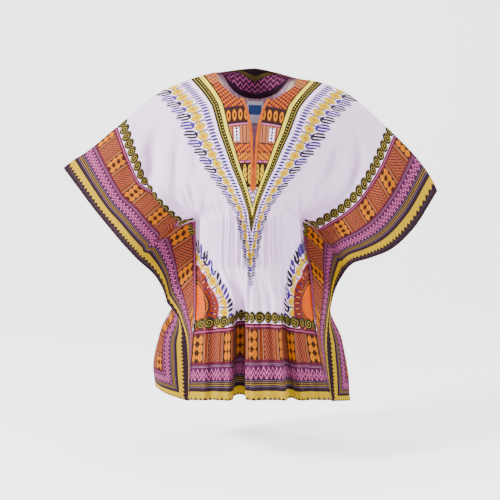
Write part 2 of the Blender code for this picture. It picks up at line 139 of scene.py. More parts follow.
# Where the front hangs below the waist: across, share of the way to the stitch line
HIP_SHARE = {
    -1: ((0, 0), (20, 0.05), (62, 0.09), (112, 0.29), (155, 0.33), (275, 1), (330, 1.4)),
    1: ((0, 0), (80, 0.41), (113, 0.44), (157, 0.555), (190, 0.615), (275, 1), (330, 1.35)),
}
HIP_START = 0.62
HIP_WHOLE = 0.76
# Large folds, pushed in: panel, across, width, depth, down where each starts and is whole
FOLDS = (
    ("front", -87, 42, 50, 0.60, 0.84),
    ("front", 135, 32, 22, 0.62, 0.84),
    ("front", 42, 16, 4, 0.60, 0.74),
    ("front", -216, 24, 6, 0.64, 0.82),
    ("front", 232, 22, 6, 0.64, 0.84),
    ("back", 10, 30, 40, 0.60, 0.86),
    ("back", -88, 28, 22, 0.61, 0.80),
    ("back", 104, 28, 24, 0.61, 0.82),
    ("back", 190, 26, 16, 0.63, 0.84),
    ("back", -182, 26, 14, 0.63, 0.84),
)
# Drag folds: panel, across and down of both ends, width, depth
DRAGS = (
    ("front", -150, 0.06, -248, 0.40, 22, 5),
    ("front", -196, 0.05, -330, 0.34, 24, 6),
    ("front", -262, 0.10, -262, 0.47, 20, 7),
    ("front", 152, 0.06, 246, 0.40, 22, 5),
    ("front", 200, 0.05, 322, 0.36, 24, 6),
    ("front", 258, 0.12, 262, 0.47, 20, 7),
    ("back", -170, 0.08, -252, 0.44, 24, 6),
    ("back", 176, 0.08, 254, 0.44, 24, 6),
    ("back", -240, 0.06, -350, 0.34, 26, 6),
    ("back", 244, 0.06, 342, 0.34, 26, 6),
)
# Small creases, for the looks alone, in the same columns
CREASES = (
    ("front", -266, 0.355, -248, 0.452, 5, 5.8),
    ("front", -224, 0.325, -250, 0.458, 6, 7.2),
    ("front", -190, 0.310, -246, 0.462, 7, 6.7),
    ("front", -156, 0.375, -238, 0.470, 5, 5.5),
    ("front", -198, 0.185, -258, 0.375, 12, 8.7),
    ("front", -232, 0.080, -322, 0.330, 26, 10.2),
    ("front", -286, 0.06, -372, 0.30, 22, 7.2),
    ("front", -150, 0.16, -176, 0.34, 13, 4.3),
    ("front", 199, 0.300, 258, 0.462, 7, 7.5),
    ("front", 160, 0.370, 252, 0.470, 6, 6.1),
    ("front", 124, 0.415, 236, 0.478, 5, 4.9),
    ("front", 246, 0.310, 272, 0.455, 6, 6.7),
    ("front", 206, 0.150, 204, 0.375, 15, 8.7),
    ("front", 232, 0.110, 290, 0.360, 20, 7.2),
    ("front", 300, 0.08, 352, 0.32, 22, 8.0),
    ("front", 150, 0.14, 146, 0.33, 12, 3.8),
    ("front", 346, 0.36, 318, 0.54, 9, 4.3),
    ("front", -352, 0.36, -326, 0.54, 9, 4.3),
    ("back", -196, 0.320, -262, 0.470, 7, 7.2),
    ("back", -232, 0.285, -268, 0.458, 8, 7.5),
    ("back", -150, 0.380, -246, 0.478, 6, 5.5),
    ("back", 186, 0.335, 258, 0.470, 7, 7.0),
    ("back", 226, 0.300, 270, 0.460, 8, 7.8),
    ("back", 142, 0.390, 244, 0.476, 6, 5.2),
    ("back", -205, 0.12, -232, 0.36, 16, 7.5),
    ("back", 216, 0.14, 226, 0.37, 18, 8.1),
    ("back", -60, 0.16, -84, 0.40, 16, 4.6),
    ("back", 72, 0.14, 90, 0.38, 18, 4.9),
    ("back", 350, 0.12, 322, 0.44, 18, 6.4),
    ("back", -344, 0.10, -316, 0.42, 20, 6.7),
)

# The visible cloth: how far its inner face is out from the draped form, its thickness, the gap at a seam
CLOTH_LOW = 0.3
CLOTH_THICK = 0.7
SEAM_GAP = 0.3
# The front's two overlaps: where the cloth turns back, and how wide its three layers are
PLEAT_AT = 279.0
PLEAT_WIDTH = 19.0
BALLOON_AT = 293.0
BALLOON_WIDTH = 12.0
# The down of the place between the balloon above and the pleat below
OVERLAP_TURN = 0.4535
# How high the smocking's ridges stand, fine and wide, then the gathers by it and the folds to the hem
FINE_RIDGE = 2.4
WIDE_RIDGE = 3.4
GATHER_RIDGE = 4.2
HEM_RIDGE = 7.5
# The bias strip's gap from the cloth and the swell of its middle. What is laid inside: gap and thickness
STRIP_GAP = 0.25
STRIP_SWELL = 0.35
INSIDE_GAP = 0.5
FACING_THICK = 0.6
LABEL_THICK = 0.4
# The facing's top row and its depth in the middle, and the label's rows and half width
FACING_TOP = 0.005
FACING_DEPTH = 0.116
LABEL_ROWS = (0.124, 0.2)
LABEL_HALF_WIDTH = 22


def along(table, down):
    """Smooth values of a table's columns: a cubic through each pair of rows, with no overshoot."""
    table = np.array(table, float)
    knots = table[:, 0]
    values = table[:, 1:]
    steps = np.diff(values, axis=0) / np.diff(knots)[:, None]
    before = steps[:-1]
    after = steps[1:]
    same_way = before * after > 0
    slopes = np.zeros_like(values)
    slopes[1:-1][same_way] = (2 * before * after)[same_way] / (before + after)[same_way]
    slopes[0] = steps[0]
    slopes[-1] = steps[-1]
    i = np.clip(np.searchsorted(knots, down, "right") - 1, 0, len(knots) - 2)
    width = knots[i + 1] - knots[i]
    t = ((down - knots[i]) / width)[:, None]
    width = width[:, None]
    start = (2 * t**3 - 3 * t**2 + 1) * values[i] + (t**3 - 2 * t**2 + t) * width * slopes[i]
    end = (3 * t**2 - 2 * t**3) * values[i + 1] + (t**3 - t**2) * width * slopes[i + 1]
    return start + end


def ease(t):
    """0 to 1 with flat ends: 3 t squared less 2 t cubed."""
    t = np.clip(t, 0, 1)
    return t * t * (3 - 2 * t)


def unit(v):
    """Vectors divided by their lengths."""
    return v / np.linalg.norm(v, axis=-1, keepdims=True)


def faces_front(panel):
    """-1 for the front and 1 for the back: the way along Y that a panel faces."""
    return -1.0 if panel == "front" else 1.0


def half(panel, side, across, down):
    """One half of a panel before its folds: a round body to the stitch line, eased into a flat wing."""
    centre = along(CENTRE[panel], down)
    stitch = along(STITCH[panel, side], down)
    joined = (down > SLEEVE_END[side] - 1e-6)[:, None]
    edge = np.where(joined, along(SIDE_SEAM[side], down), along(SLEEVE_EDGE[panel, side], down))
    roundness, turn, puff, front_swell, back_swell = along(SHAPE, down).T
    t = across / STITCH_ACROSS
    hips = ease((down - HIP_START) / (HIP_WHOLE - HIP_START)) if panel == "front" else 0
    body_x = t + hips * (along(HIP_SHARE[side], across)[:, 0] - t)
    inside = np.minimum(t, 1)
    body_y = np.cos(inside * np.pi / 2)
    body_y += roundness * ((1 - inside**2.6) ** 0.9 - body_y)
    body = np.stack([
        centre[:, 0] + (stitch[:, 0] - centre[:, 0]) * body_x,
        stitch[:, 1] + (centre[:, 1] - stitch[:, 1]) * body_y,
        centre[:, 2] + (stitch[:, 2] - centre[:, 2]) * t * t,
    ], 1)
    q = (across - STITCH_ACROSS) / (HALF_WIDTH - STITCH_ACROSS)
    wing = stitch + (edge - stitch) * q[:, None]
    wing[:, 1] = stitch[:, 1] + (edge[:, 1] - stitch[:, 1]) * np.maximum(q, 0)
    arch = np.sin(np.clip(q, 0, 1) * np.pi)
    wing[:, 1] += faces_front(panel) * puff * arch
    wing[:, 0] += side * arch * (front_swell if panel == "front" else back_swell)
    share = ease((across - STITCH_ACROSS) / turn + 0.5)[:, None]
    return body * (1 - share) + wing * share


def unfolded(panel, side, across, down):
    """One half with the shoulder line's own shape, which dies away down the cloth."""
    place = half(panel, side, across, down)
    top = half(panel, side, across, np.zeros_like(down))
    line = along(SHOULDER[side], across)
    fade = np.clip(1 - down / 0.34, 0, 1) ** 2
    place[:, 0] += fade * (line[:, 0] - top[:, 0])
    place[:, 2] += fade * (line[:, 1] - top[:, 2])
    return place


def large_push(panel, across, down):
    """How far the large folds push in: a bell curve across each, eased in down its length."""
    push = np.zeros_like(across)
    for name, middle, width, depth, start, whole in FOLDS:
        if name == panel:
            grown = ease((down - start) / (whole - start))
            push += depth * grown * np.exp(-((across - middle) / width) ** 2)
    return push


def drag_push(table, panel, across, down):
    """How far drag folds push in: a bell curve across the line between two places, fading at both."""
    push = np.zeros_like(across)
    for name, across_a, down_a, across_b, down_b, width, depth in table:
        if name == panel:
            t = np.clip((down - down_a) / (down_b - down_a), 0, 1)
            middle = across_a + (across_b - across_a) * t
            push += depth * np.sin(np.pi * t) ** 0.8 * np.exp(-((across - middle) / width) ** 2)
    return push


def draped(panel, across, down):
    """Where places on a panel hang, in millimetres."""
    place = np.where(
        across[:, None] < 0,
        unfolded(panel, -1, np.abs(across), down),
        unfolded(panel, 1, np.abs(across), down),
    )
    push = large_push(panel, across, down) + drag_push(DRAGS, panel, across, down)
    place[:, 1] -= faces_front(panel) * push
    return place


def outward(panel, across, down):
    """Unit normals away from the body, from places a little to each side and above and below."""
    step = 1.5
    fall = step / LENGTH
    over = draped(panel, np.clip(across + step, -HALF_WIDTH, HALF_WIDTH), down)
    over -= draped(panel, np.clip(across - step, -HALF_WIDTH, HALF_WIDTH), down)
    under = draped(panel, across, np.clip(down + fall, 0, 1))
    under -= draped(panel, across, np.clip(down - fall, 0, 1))
    return unit(np.cross(under, over) * -faces_front(panel))


def seam(panel, across, down, back_across, back_down):
    """At a joined edge: the inner place and the direction of thickness that both panels share there."""
    other = "back" if panel == "front" else "front"
    out = {}
    travel = {}
    here = draped(panel, across, down)
    if np.allclose(down, back_down):
        line = draped(panel, across, down - 0.004) - here
    else:
        line = draped(panel, back_across - np.sign(across), down) - here
    line = unit(line)
    for name in (panel, other):
        way = here - draped(name, back_across, back_down)
        travel[name] = unit(way - (way * line).sum(1)[:, None] * line)
        out[name] = outward(name, back_across, back_down)
    thick = unit(out[panel] + out[other] + travel[panel] + travel[other])
    apart = out[panel] - out[other] + travel[other] - travel[panel]
    apart = unit(apart - (apart * thick).sum(1)[:, None] * thick)
    return here + apart * SEAM_GAP / 2, thick


def neck_cut(panel, distance):
    """How far down the neck hole reaches at a distance from the centre: a quarter of an ellipse."""
    t = np.clip(distance / NECK_HALF_WIDTH, 0, 1)
    return NECK_DEPTH[panel] * np.sqrt(1 - t**2)


def slit_opening(down):
    """Half the width of the slit: it flares at the neck and closes at SLIT_END."""
    t = np.clip((SLIT_END - down) / (SLIT_END - NECK_DEPTH["front"]), 0, 1)
    return 2.5 * np.sqrt(t) + 26 * t**4


def cloth_place(panel, side, distance, row):
    """(across, down) of a column's distance and a row, bent round the neck hole and spread by the slit."""
    down = row + neck_cut(panel, distance) * np.clip(1 - row / SMOCK_TOP, 0, 1)
    if panel == "front":
        distance = distance + slit_opening(down) * np.clip(1 - distance / SLIT_SPREAD, 0, 1)
    return side * distance, down


def gathers(panel, across, down):
    """How far the smocking and its gathers stand out, in millimetres.

    In the smocking a fine wave and a wider uneven one, pinched at each elastic thread. Above and below,
    the soft gathers that they run into, each of its own length, and the folds that hang to the hem.
    """
    inside = ease((STITCH_ACROSS - 16 - np.abs(across)) / 16)
    zone = ease((down - SMOCK_TOP + 0.02) / 0.03) * ease((SMOCK_END + 0.025 - down) / 0.03)
    fine = 0.5 - 0.5 * np.cos(np.pi * (across + STITCH_ACROSS) / STITCH_ACROSS * GATHERS)
    drift = across + 7 * np.sin(across / 31.0) + 2.5 * np.sin(across / 9.7 + down * 9)
    wide = 0.5 - 0.5 * np.cos(2 * np.pi * drift / 13.5)
    pinch = 0.86 + 0.14 * np.cos(2 * np.pi * (down - SMOCK_TOP) * LENGTH / 9.5)
    reach = 0.055 + 0.045 * np.sin(drift / 23.0) + 0.03 * np.sin(drift / 7.1)
    above = ease((down - SMOCK_TOP + reach + 0.03) / (reach + 0.03))
    below = ease((SMOCK_END + 2.2 * reach + 0.05 - down) / (2.2 * reach + 0.05))
    soft = above * below
    slow = 0.5 + 0.5 * np.sin(drift / 4.4 + 1.3 * np.sin(across / 40.0))
    fade = np.clip(1 - large_push(panel, across, down) / 16, 0, 1)
    wander = 1.1 * np.sin(across / 47.0) + 0.9 * np.sin(down * 9 + across / 60.0)
    sway = 0.5 + 0.5 * np.sin(across / 5.6 + wander)
    hang = HEM_RIDGE * ease((down - SMOCK_END + 0.02) / 0.13) * sway**1.2
    smocked = zone * pinch * (FINE_RIDGE * fine + WIDE_RIDGE * wide)
    return inside * (smocked + fade * (GATHER_RIDGE * soft * slow + hang))


def tucked(place, crease, deep, end):
    """Where a place goes when the cloth is laid in three layers at crease, deep wide, up to end.

    Up to crease + deep it stays, then it runs back to crease, then on to end, stretched to fit. The
    second number is the layer: 0, rising to 1 along the middle layer, then 1.
    """
    back = crease + deep
    out = crease + 2 * deep
    middle = 2 * back - place
    last = crease + (place - out) * (end - crease) / (end - out)
    layer = np.clip((place - back) / np.maximum(deep, 1e-6), 0, 1)
    return np.where(place < back, place, np.where(place < out, middle, last)), layer


def cloth_layers(panel, across, down, low=CLOTH_LOW, thick=CLOTH_THICK):
    """Both faces of the cloth: the draped form moved out along its normals, creased and gathered.

    Beside and below the smocking the front's wing overlaps its body in a pleat. Above it, on the left,
    the blouse balloons over the border. At a joined edge both panels share one line.
    """
    side = np.abs(across)
    on_front = panel == "front"
    pleat = on_front * ease((down - 0.4525) / 0.024) * (1 - 0.5 * ease((down - 0.72) / 0.28))
    balloon = on_front * (across < 0) * ease((down - 0.22) / 0.09) * ease((0.4545 - down) / 0.022)
    lower, wing = tucked(side, PLEAT_AT, PLEAT_WIDTH * pleat, HALF_WIDTH)
    upper, border_side = tucked(side, BALLOON_AT, BALLOON_WIDTH * balloon, HALF_WIDTH)
    lift = 3.4 * wing * pleat * np.clip(1 - (side - 318) / 70, 0, 1)
    lift += balloon * (1 - border_side) * (3.0 * np.clip(1 - (305 - side) / 60, 0, 1))
    lift += balloon * 7.0 * np.exp(-((side - 262) / 30) ** 2) * (1 - border_side)
    flat_across = across
    across = np.sign(across) * np.where(down > OVERLAP_TURN, lower, upper)
    inner = draped(panel, across, down)
    normal = outward(panel, across, down)
    at_top = (down < 1e-6) & (np.abs(across) > NECK_HALF_WIDTH - 1e-6)
    ends = np.where(across < 0, SLEEVE_END[-1], SLEEVE_END[1])
    at_side = (np.abs(across) > HALF_WIDTH - 1e-6) & (down > ends - 1e-6)
    tip = (np.abs(across) > HALF_WIDTH - 1e-6) & (down < 1e-6)
    for joined, back_across, back_down in (
        (at_top, np.clip(across, -HALF_WIDTH + 4, HALF_WIDTH - 4), down + 0.012),
        (at_side & ~tip, across * (1 - 10 / HALF_WIDTH), down),
    ):
        if joined.any():
            inner[joined], normal[joined] = seam(
                panel, across[joined], down[joined], back_across[joined], back_down[joined]
            )
    rise = lift + gathers(panel, flat_across, down) - drag_push(CREASES, panel, flat_across, down)
    base = (low + rise)[:, None] * normal
    return inner + base, inner + base + normal * thick


def shell(name, under, over, uv, keep, materials, faces_away=True, apart=None):
    """A closed shell from two grids of places, with a rim square along each edge of the outline.

    keep says which squares of the grid are cloth. Below row number apart the two middle columns are one.
    """
    rows, columns = under.shape[:2]
    count = rows * columns
    ids = np.arange(count).reshape(rows, columns)
    if apart is not None:
        middle = columns // 2
        ids[apart:, middle - 1] = ids[apart:, middle]
    quads = np.stack([ids[:-1, :-1], ids[1:, :-1], ids[1:, 1:], ids[:-1, 1:]], -1)[keep]
    if not faces_away:
        quads = quads[:, ::-1]
    starts = quads.ravel()
    ends = np.roll(quads, -1, 1).ravel()
    key = np.minimum(starts, ends) * count + np.maximum(starts, ends)
    _, inverse, times = np.unique(key, return_inverse=True, return_counts=True)
    lone = times[inverse.ravel()] == 1
    a = starts[lone]
    b = ends[lone]
    rim = np.stack([b, a, a + count, b + count], -1)
    faces = np.concatenate([quads, quads[:, ::-1] + count, rim])
    slots = np.repeat([0, len(materials) - 1, 0], [len(quads), len(quads), len(rim)]).astype(np.int32)
    used, flat = np.unique(faces.ravel(), return_inverse=True)
    points = np.concatenate([over.reshape(-1, 3), under.reshape(-1, 3)])[used]
    places = np.concatenate([uv.reshape(-1, 2), uv.reshape(-1, 2)])[used]
    on_rim = np.zeros(2 * count, bool)
    on_rim[np.concatenate([a, b, a + count, b + count])] = True
    return surface(name, points, flat.reshape(faces.shape), places, slots, materials, on_rim[used])


def surface(name, points, faces, places, slots, materials, on_rim=None):
    """A mesh object from whole arrays: points in millimetres, faces, cloth places in metres, slots."""
    mesh = bpy.data.meshes.new(name)
    mesh.vertices.add(len(points))
    mesh.vertices.foreach_set("co", (points * MM).astype(np.float32).ravel())
    mesh.loops.add(faces.size)
    mesh.loops.foreach_set("vertex_index", faces.astype(np.int32).ravel())
    mesh.polygons.add(len(faces))
    mesh.polygons.foreach_set("loop_start", np.arange(0, faces.size, faces.shape[1], dtype=np.int32))
    mesh.polygons.foreach_set("material_index", slots)
    mesh.update(calc_edges=True)
    mesh.shade_smooth()
    layer = mesh.uv_layers.new(name="cloth")
    layer.data.foreach_set("uv", places[faces.ravel()].astype(np.float32).ravel())
    if on_rim is not None:
        ends = np.zeros(len(mesh.edges) * 2, np.int32)
        mesh.edges.foreach_get("vertices", ends)
        sharp = on_rim[ends].reshape(-1, 2).all(1)
        attribute = mesh.attributes.new("sharp_edge", "BOOLEAN", "EDGE")
        attribute.data.foreach_set("value", sharp)
    mesh.validate()
    for material in materials:
        mesh.materials.append(material)
    piece = bpy.data.objects.new(name, mesh)
    bpy.context.scene.collection.objects.link(piece)
    return piece


def cloth_columns():
    """Distances from the centre: four to a fine gather, close through the pleat, wider to the edge."""
    pitch = STITCH_ACROSS / GATHERS / 2
    fine = np.arange(0, STITCH_ACROSS - 12, pitch)
    pleat = np.linspace(fine[-1], 326, 34)[1:]
    wing = np.linspace(326, HALF_WIDTH, 26)[1:]
    return np.concatenate([fine, pleat, wing])


def cloth_rows():
    """Rows from the shoulder to the hem, closest through the smocking, one of them at the slit's end."""
    return np.concatenate([
        np.linspace(0, SLIT_ROW, 32)[:-1],
        np.linspace(SLIT_ROW, 0.415, 9)[:-1],
        np.linspace(0.415, 0.49, 28)[:-1],
        np.linspace(0.49, 0.64, 34)[:-1],
        np.linspace(0.64, 1, 32),
    ])


def both_halves(distances):
    """The side and the distance of every column of a piece, from its left edge to its right."""
    sides = np.repeat([-1.0, 1.0], len(distances))
    return sides, np.concatenate([distances[::-1], distances])


def spread(panel, distances, rows):
    """Across and down of a panel's grid, left half first, and the number of the row at the slit's end."""
    sides, every = both_halves(distances)
    side, row = np.meshgrid(sides, rows)
    distance, _ = np.meshgrid(every, rows)
    across, down = cloth_place(panel, side, distance, row)
    split = int(np.argmin(np.abs(rows - SLIT_ROW))) if panel == "front" else 0
    return across, down, split


def middle_open(shape):
    """Every square of a grid but the strip between its two middle columns."""
    keep = np.ones((shape[0] - 1, shape[1] - 1), bool)
    keep[:, shape[1] // 2 - 1] = False
    return keep


def cloth_uv(across, down):
    """The cloth's own flat places in metres, from the left end of the shoulder line."""
    return np.stack([(across + HALF_WIDTH) * MM, down * LENGTH * MM], -1)


def panel_piece(name, panel, materials):
    """A printed panel: both faces of the cloth over the whole grid."""
    across, down, apart = spread(panel, cloth_columns(), cloth_rows())
    low, high = cloth_layers(panel, across.ravel(), down.ravel())
    shape = (*across.shape, 3)
    keep = middle_open(across.shape)
    uv = cloth_uv(across, down)
    faces_away = panel == "front"
    return shell(name, low.reshape(shape), high.reshape(shape), uv, keep, materials, faces_away, apart)


def laid_piece(name, panel, distances, rows, low, thick, materials, apart):
    """A strip laid on a panel: the cloth's own places on a grid of columns and rows, moved out by low."""
    sides, every = both_halves(distances)
    row = np.concatenate([rows[:, ::-1], rows], 1)
    side = np.broadcast_to(sides, row.shape)
    distance = np.broadcast_to(every, row.shape)
    across, down = cloth_place(panel, side, distance, row)
    inner = draped(panel, across.ravel(), down.ravel())
    normal = outward(panel, across.ravel(), down.ravel())
    shape = (*across.shape, 3)
    swell = np.broadcast_to(low, across.shape).reshape(-1, 1)
    under = (inner + normal * swell).reshape(shape)
    over = (inner + normal * (swell + thick)).reshape(shape)
    faces_away = (panel == "front") == (thick > 0)
    keep = middle_open(across.shape)
    return shell(name, under, over, cloth_uv(across, row), keep, materials, faces_away, apart)


class Value:
    """A number that changes over the cloth. Arithmetic on it adds Math nodes to its tree."""

    def __init__(self, tree, socket):
        self.tree = tree
        self.socket = socket

    def op(self, operation, *others):
        node = self.tree.nodes.new("ShaderNodeMath")
        node.operation = operation
        for slot, other in zip(node.inputs, (self, *others)):
            if isinstance(other, Value):
                self.tree.links.new(other.socket, slot)
            else:
                slot.default_value = other
        return Value(self.tree, node.outputs[0])

    def __add__(self, other):
        return self.op("ADD", other)

    def __sub__(self, other):
        return self.op("SUBTRACT", other)

    def __mul__(self, other):
        return self.op("MULTIPLY", other)

    def __truediv__(self, other):
        return self.op("DIVIDE", other)

    def __lt__(self, other):
        return self.op("LESS_THAN", other)

    def __gt__(self, other):
        return self.op("GREATER_THAN", other)

    def less_from(self, start):
        """start less this value."""
        return self.op("MULTIPLY_ADD", -1.0, start)

    def fold(self, pitch):
        """How far the value is from the nearest whole number of pitches."""
        return self.op("PINGPONG", pitch / 2)

    def around(self, pitch):
        """How far the value is past the nearest whole number of pitches, with its sign."""
        return self.op("WRAP", pitch / 2, -pitch / 2)

    def between(self, low, high):
        """1 from low to high and 0 elsewhere."""
        return self.op("COMPARE", (low + high) / 2, (high - low) / 2)

    def round_with(self, other):
        """The length of the vector of this value and another."""
        return (self * self + other * other).op("SQRT")


def srgb(red, green, blue):
    """A colour as a paint chart gives it, 0 to 255, as linear light."""
    channels = np.array([red, green, blue]) / 255
    return (*np.where(channels < 0.04045, channels / 12.92, ((channels + 0.055) / 1.055) ** 2.4), 1.0)


def paint(name, description, *chart):
    """A colour property whose default is a paint chart's red, green and blue."""
    return FloatVectorProperty(
        name=name, description=description, subtype="COLOR", size=4, min=0.0, max=1.0, default=srgb(*chart)
    )


class PrintInks(bpy.types.PropertyGroup):
    """The inks of the print and the colours of the sewn-on parts."""

    cloth: paint("Cloth", "Bare ground of the cloth", 240, 211, 246)
    aubergine: paint("Aubergine", "Outer edge of the border and its fine lines", 41, 22, 34)
    yellow: paint("Yellow", "Toothed stripe of the border", 180, 146, 0)
    ochre: paint("Ochre", "Thin lines beside the dark ones", 141, 109, 33)
    purple: paint("Purple", "Zigzag and ring strokes", 70, 24, 62)
    pink: paint("Pink", "Ground of the zigzag and thin lines", 188, 94, 140)
    plum: paint("Plum", "Lines at each side of the boxes", 84, 22, 44)
    coral: paint("Coral", "Boxes and rings", 126, 42, 10)
    gold: paint("Gold", "Motifs on brown", 190, 106, 0)
    brown: paint("Brown", "Ground of the gold motifs", 48, 24, 14)
    snail: paint("Snail", "Ground of the round spirals", 34, 29, 14)
    straw: paint("Straw", "Line of the round spirals", 144, 127, 46)
    indigo: paint("Indigo", "Every second comb and the dashes", 62, 40, 122)
    charcoal: paint("Charcoal", "The other combs and the beads", 36, 34, 48)
    petal: paint("Petal", "Flowers", 206, 172, 0)
    ember: paint("Ember", "Heart of each half sun", 200, 70, 0)
    amber: paint("Amber", "Rim of each heart", 200, 108, 0)
    stem: paint("Stem", "Stems between the flowers", 89, 33, 49)
    cream: paint("Cream", "Line down the neck band", 222, 200, 60)
    beige: paint("Beige", "Ground beside the slit", 160, 98, 58)
    orange: paint("Orange", "Specks", 176, 72, 0)
    mauve: paint("Mauve", "Point of the neck print", 100, 82, 111)
    binding: paint("Binding", "Bias strip round the slit", 184, 84, 0)
    label: paint("Label", "Woven tape inside the neck", 238, 237, 249)
    badge: paint("Label block", "Plain block woven into the tape", 58, 96, 160)
    thread: paint("Thread", "Sewing thread", 80, 62, 73)


def ink(name):
    """An ink of the print as it is set now."""
    return tuple(getattr(bpy.context.scene.print_inks, name))


def over(tree, below, share, above):
    """One colour laid over another where share is 1. Either may be an ink's name or a socket."""
    node = tree.nodes.new("ShaderNodeMix")
    node.data_type = "RGBA"
    tree.links.new(share.socket, node.inputs["Factor"])
    for slot, colour in ((node.inputs["A"], below), (node.inputs["B"], above)):
        if isinstance(colour, str):
            slot.default_value = ink(colour)
        else:
            tree.links.new(colour, slot)
    return node.outputs["Result"]


def stripes(tree, value, reach, bands):
    """Flat bands of ink along a value from 0 to reach: each entry is where a band starts and its ink."""
    node = tree.nodes.new("ShaderNodeValToRGB")
    ramp = node.color_ramp
    ramp.interpolation = "CONSTANT"
    ramp.elements.remove(ramp.elements[1])
    ramp.elements[0].position = 0
    ramp.elements[0].color = ink(bands[0][1])
    for start, name in bands[1:]:
        ramp.elements.new(start / reach).color = ink(name)
    tree.links.new((value / reach).socket, node.inputs["Fac"])
    return node.outputs["Color"]


def group(name, inputs, outputs, fill):
    """A shader node group with named number inputs. fill works out its outputs from them."""
    tree = bpy.data.node_groups.new(name, "ShaderNodeTree")
    for label in inputs:
        tree.interface.new_socket(label, in_out="INPUT", socket_type="NodeSocketFloat")
    for label, kind in outputs:
        tree.interface.new_socket(label, in_out="OUTPUT", socket_type=kind)
    start = tree.nodes.new("NodeGroupInput")
    end = tree.nodes.new("NodeGroupOutput")
    results = fill(tree, *[Value(tree, start.outputs[label]) for label in inputs])
    for (label, _), result in zip(outputs, results):
        tree.links.new(result.socket if isinstance(result, Value) else result, end.inputs[label])
    return tree


def use(tree, inner, **values):
    """A node of a group with its inputs joined to values."""
    node = tree.nodes.new("ShaderNodeGroup")
    node.node_tree = inner
    for label, value in values.items():
        tree.links.new(value.socket, node.inputs[label])
    return node


PRINT = (("Color", "NodeSocketColor"), ("Mask", "NodeSocketFloat"))
GROUPS = {}

# The print, in millimetres of flat cloth. The border's bands: how far in from the edge each starts, its ink
BORDER_BANDS = (
    (0, "aubergine"), (36, "mauve"), (37.5, "aubergine"), (40, "ochre"), (41.3, "aubergine"),
    (44, "ochre"), (45.3, "aubergine"), (48, "mauve"), (49.3, "aubergine"), (51.5, "purple"),
    (72, "aubergine"), (73.2, "pink"), (74.2, "aubergine"), (75.6, "mauve"), (76.6, "plum"), (82, "brown"),
    (124, "plum"), (127.5, "pink"), (129, "plum"), (133, "cloth"),
)
BORDER_END = 133.0
YELLOW = (11.5, 28.5)
ZIGZAG = (51.5, 72.0)
BOXES = (82.0, 124.0)
# The boxes' bands along the border, from the middle of one to the middle of the next kind
BOX_PITCH = 88.0
BOX_BANDS = (
    (0, "brown"), (15.5, "aubergine"), (17, "beige"), (18.6, "plum"), (20, "beige"), (21.6, "brown"),
    (23, "coral"), (25.4, "brown"), (26.8, "beige"), (28.2, "aubergine"), (29.8, "coral"),
    (42.6, "aubergine"),
)
SNAIL_PITCH = 21.5
# The hem's border is taller than the sides': distance from the hem, distance from a side with the same ink
HEM_BANDS = (
    (0, 12), (18, 30), (37, 51), (62, 73), (73, 82), (129, 124), (140, 133), (164, 157), (400, 393),
)
# The neck print: half its width at each distance down, to its tip, and its bands by where each starts
NECK_TIP = 377.0
NECK_OUTLINE = ((0, 137), (92, 102), (152, 90), (225, 66), (283, 40), (377, 0))
NECK_BAND = ((0, "snail"), (3, "cream"), (11, "snail"), (20, "straw"), (21.7, "snail"))
NECK_BAND_WIDTH = 26.0
NECK_ROWS = (
    (0, "beige"), (30, "plum"), (34, "coral"), (76, "aubergine"), (79, "coral"), (101, "aubergine"),
    (105, "brown"), (134, "aubergine"), (136.5, "pink"), (138.5, "plum"), (141, "beige"),
    (176, "aubergine"), (178.5, "orange"), (192, "aubergine"), (196, "gold"), (211, "plum"),
    (213, "pink"), (217, "petal"), (272, "mauve"),
)
# The row of dashes, flowers and combs round the neck print and the suns
FLOWER_PITCH = 22.0
ROW_WIDTH = 72.0
# The half suns: their middle's distance across and down, their rings and their radius
SUN_ACROSS = 288.0
SUN_DOWN = 518.0
SUN_RADIUS = 72.5
SUN_RINGS = (
    (0, "ember"), (38, "aubergine"), (40.6, "amber"), (43.4, "aubergine"), (46, "coral"), (70.5, "pink"),
    (72.5, "cloth"),
)
THREAD_PITCH = 0.42
# The facing's slanted lines, then its zigzag field
FACING_LINES = (
    (0, "aubergine"), (30, "straw"), (31.6, "aubergine"), (34, "straw"), (35.6, "aubergine"),
    (38, "straw"), (39.2, "aubergine"), (42, "purple"),
)

# The studio, in metres. The floor's sweep: how far back, how far up
SWEEP = (
    (-3.0, 0.0), (1.2, 0.0), (1.8, 0.06), (2.3, 0.22), (2.7, 0.5), (2.95, 0.95), (3.05, 1.5), (3.05, 4.0),
)
# Lamp, place, what it is aimed at, width of its disc, watts
LAMPS = (
    ("key", (-2.6, -1.15, 1.25), (0, 0, -0.3), 0.7, 250),
    ("side", (2.6, -1.2, 0.9), (0, 0, -0.3), 0.8, 105),
    ("front", (0.4, -3.2, 0.5), (0, 0, -0.35), 2.2, 38),
    ("top", (0.2, 0.4, 2.6), (0, 0, -0.3), 1.4, 60),
)
CAMERA_PLACE = (0, -2.2, -0.1)
CAMERA_AIM = (-0.0105, 0, -0.331)
LENS = 75.43


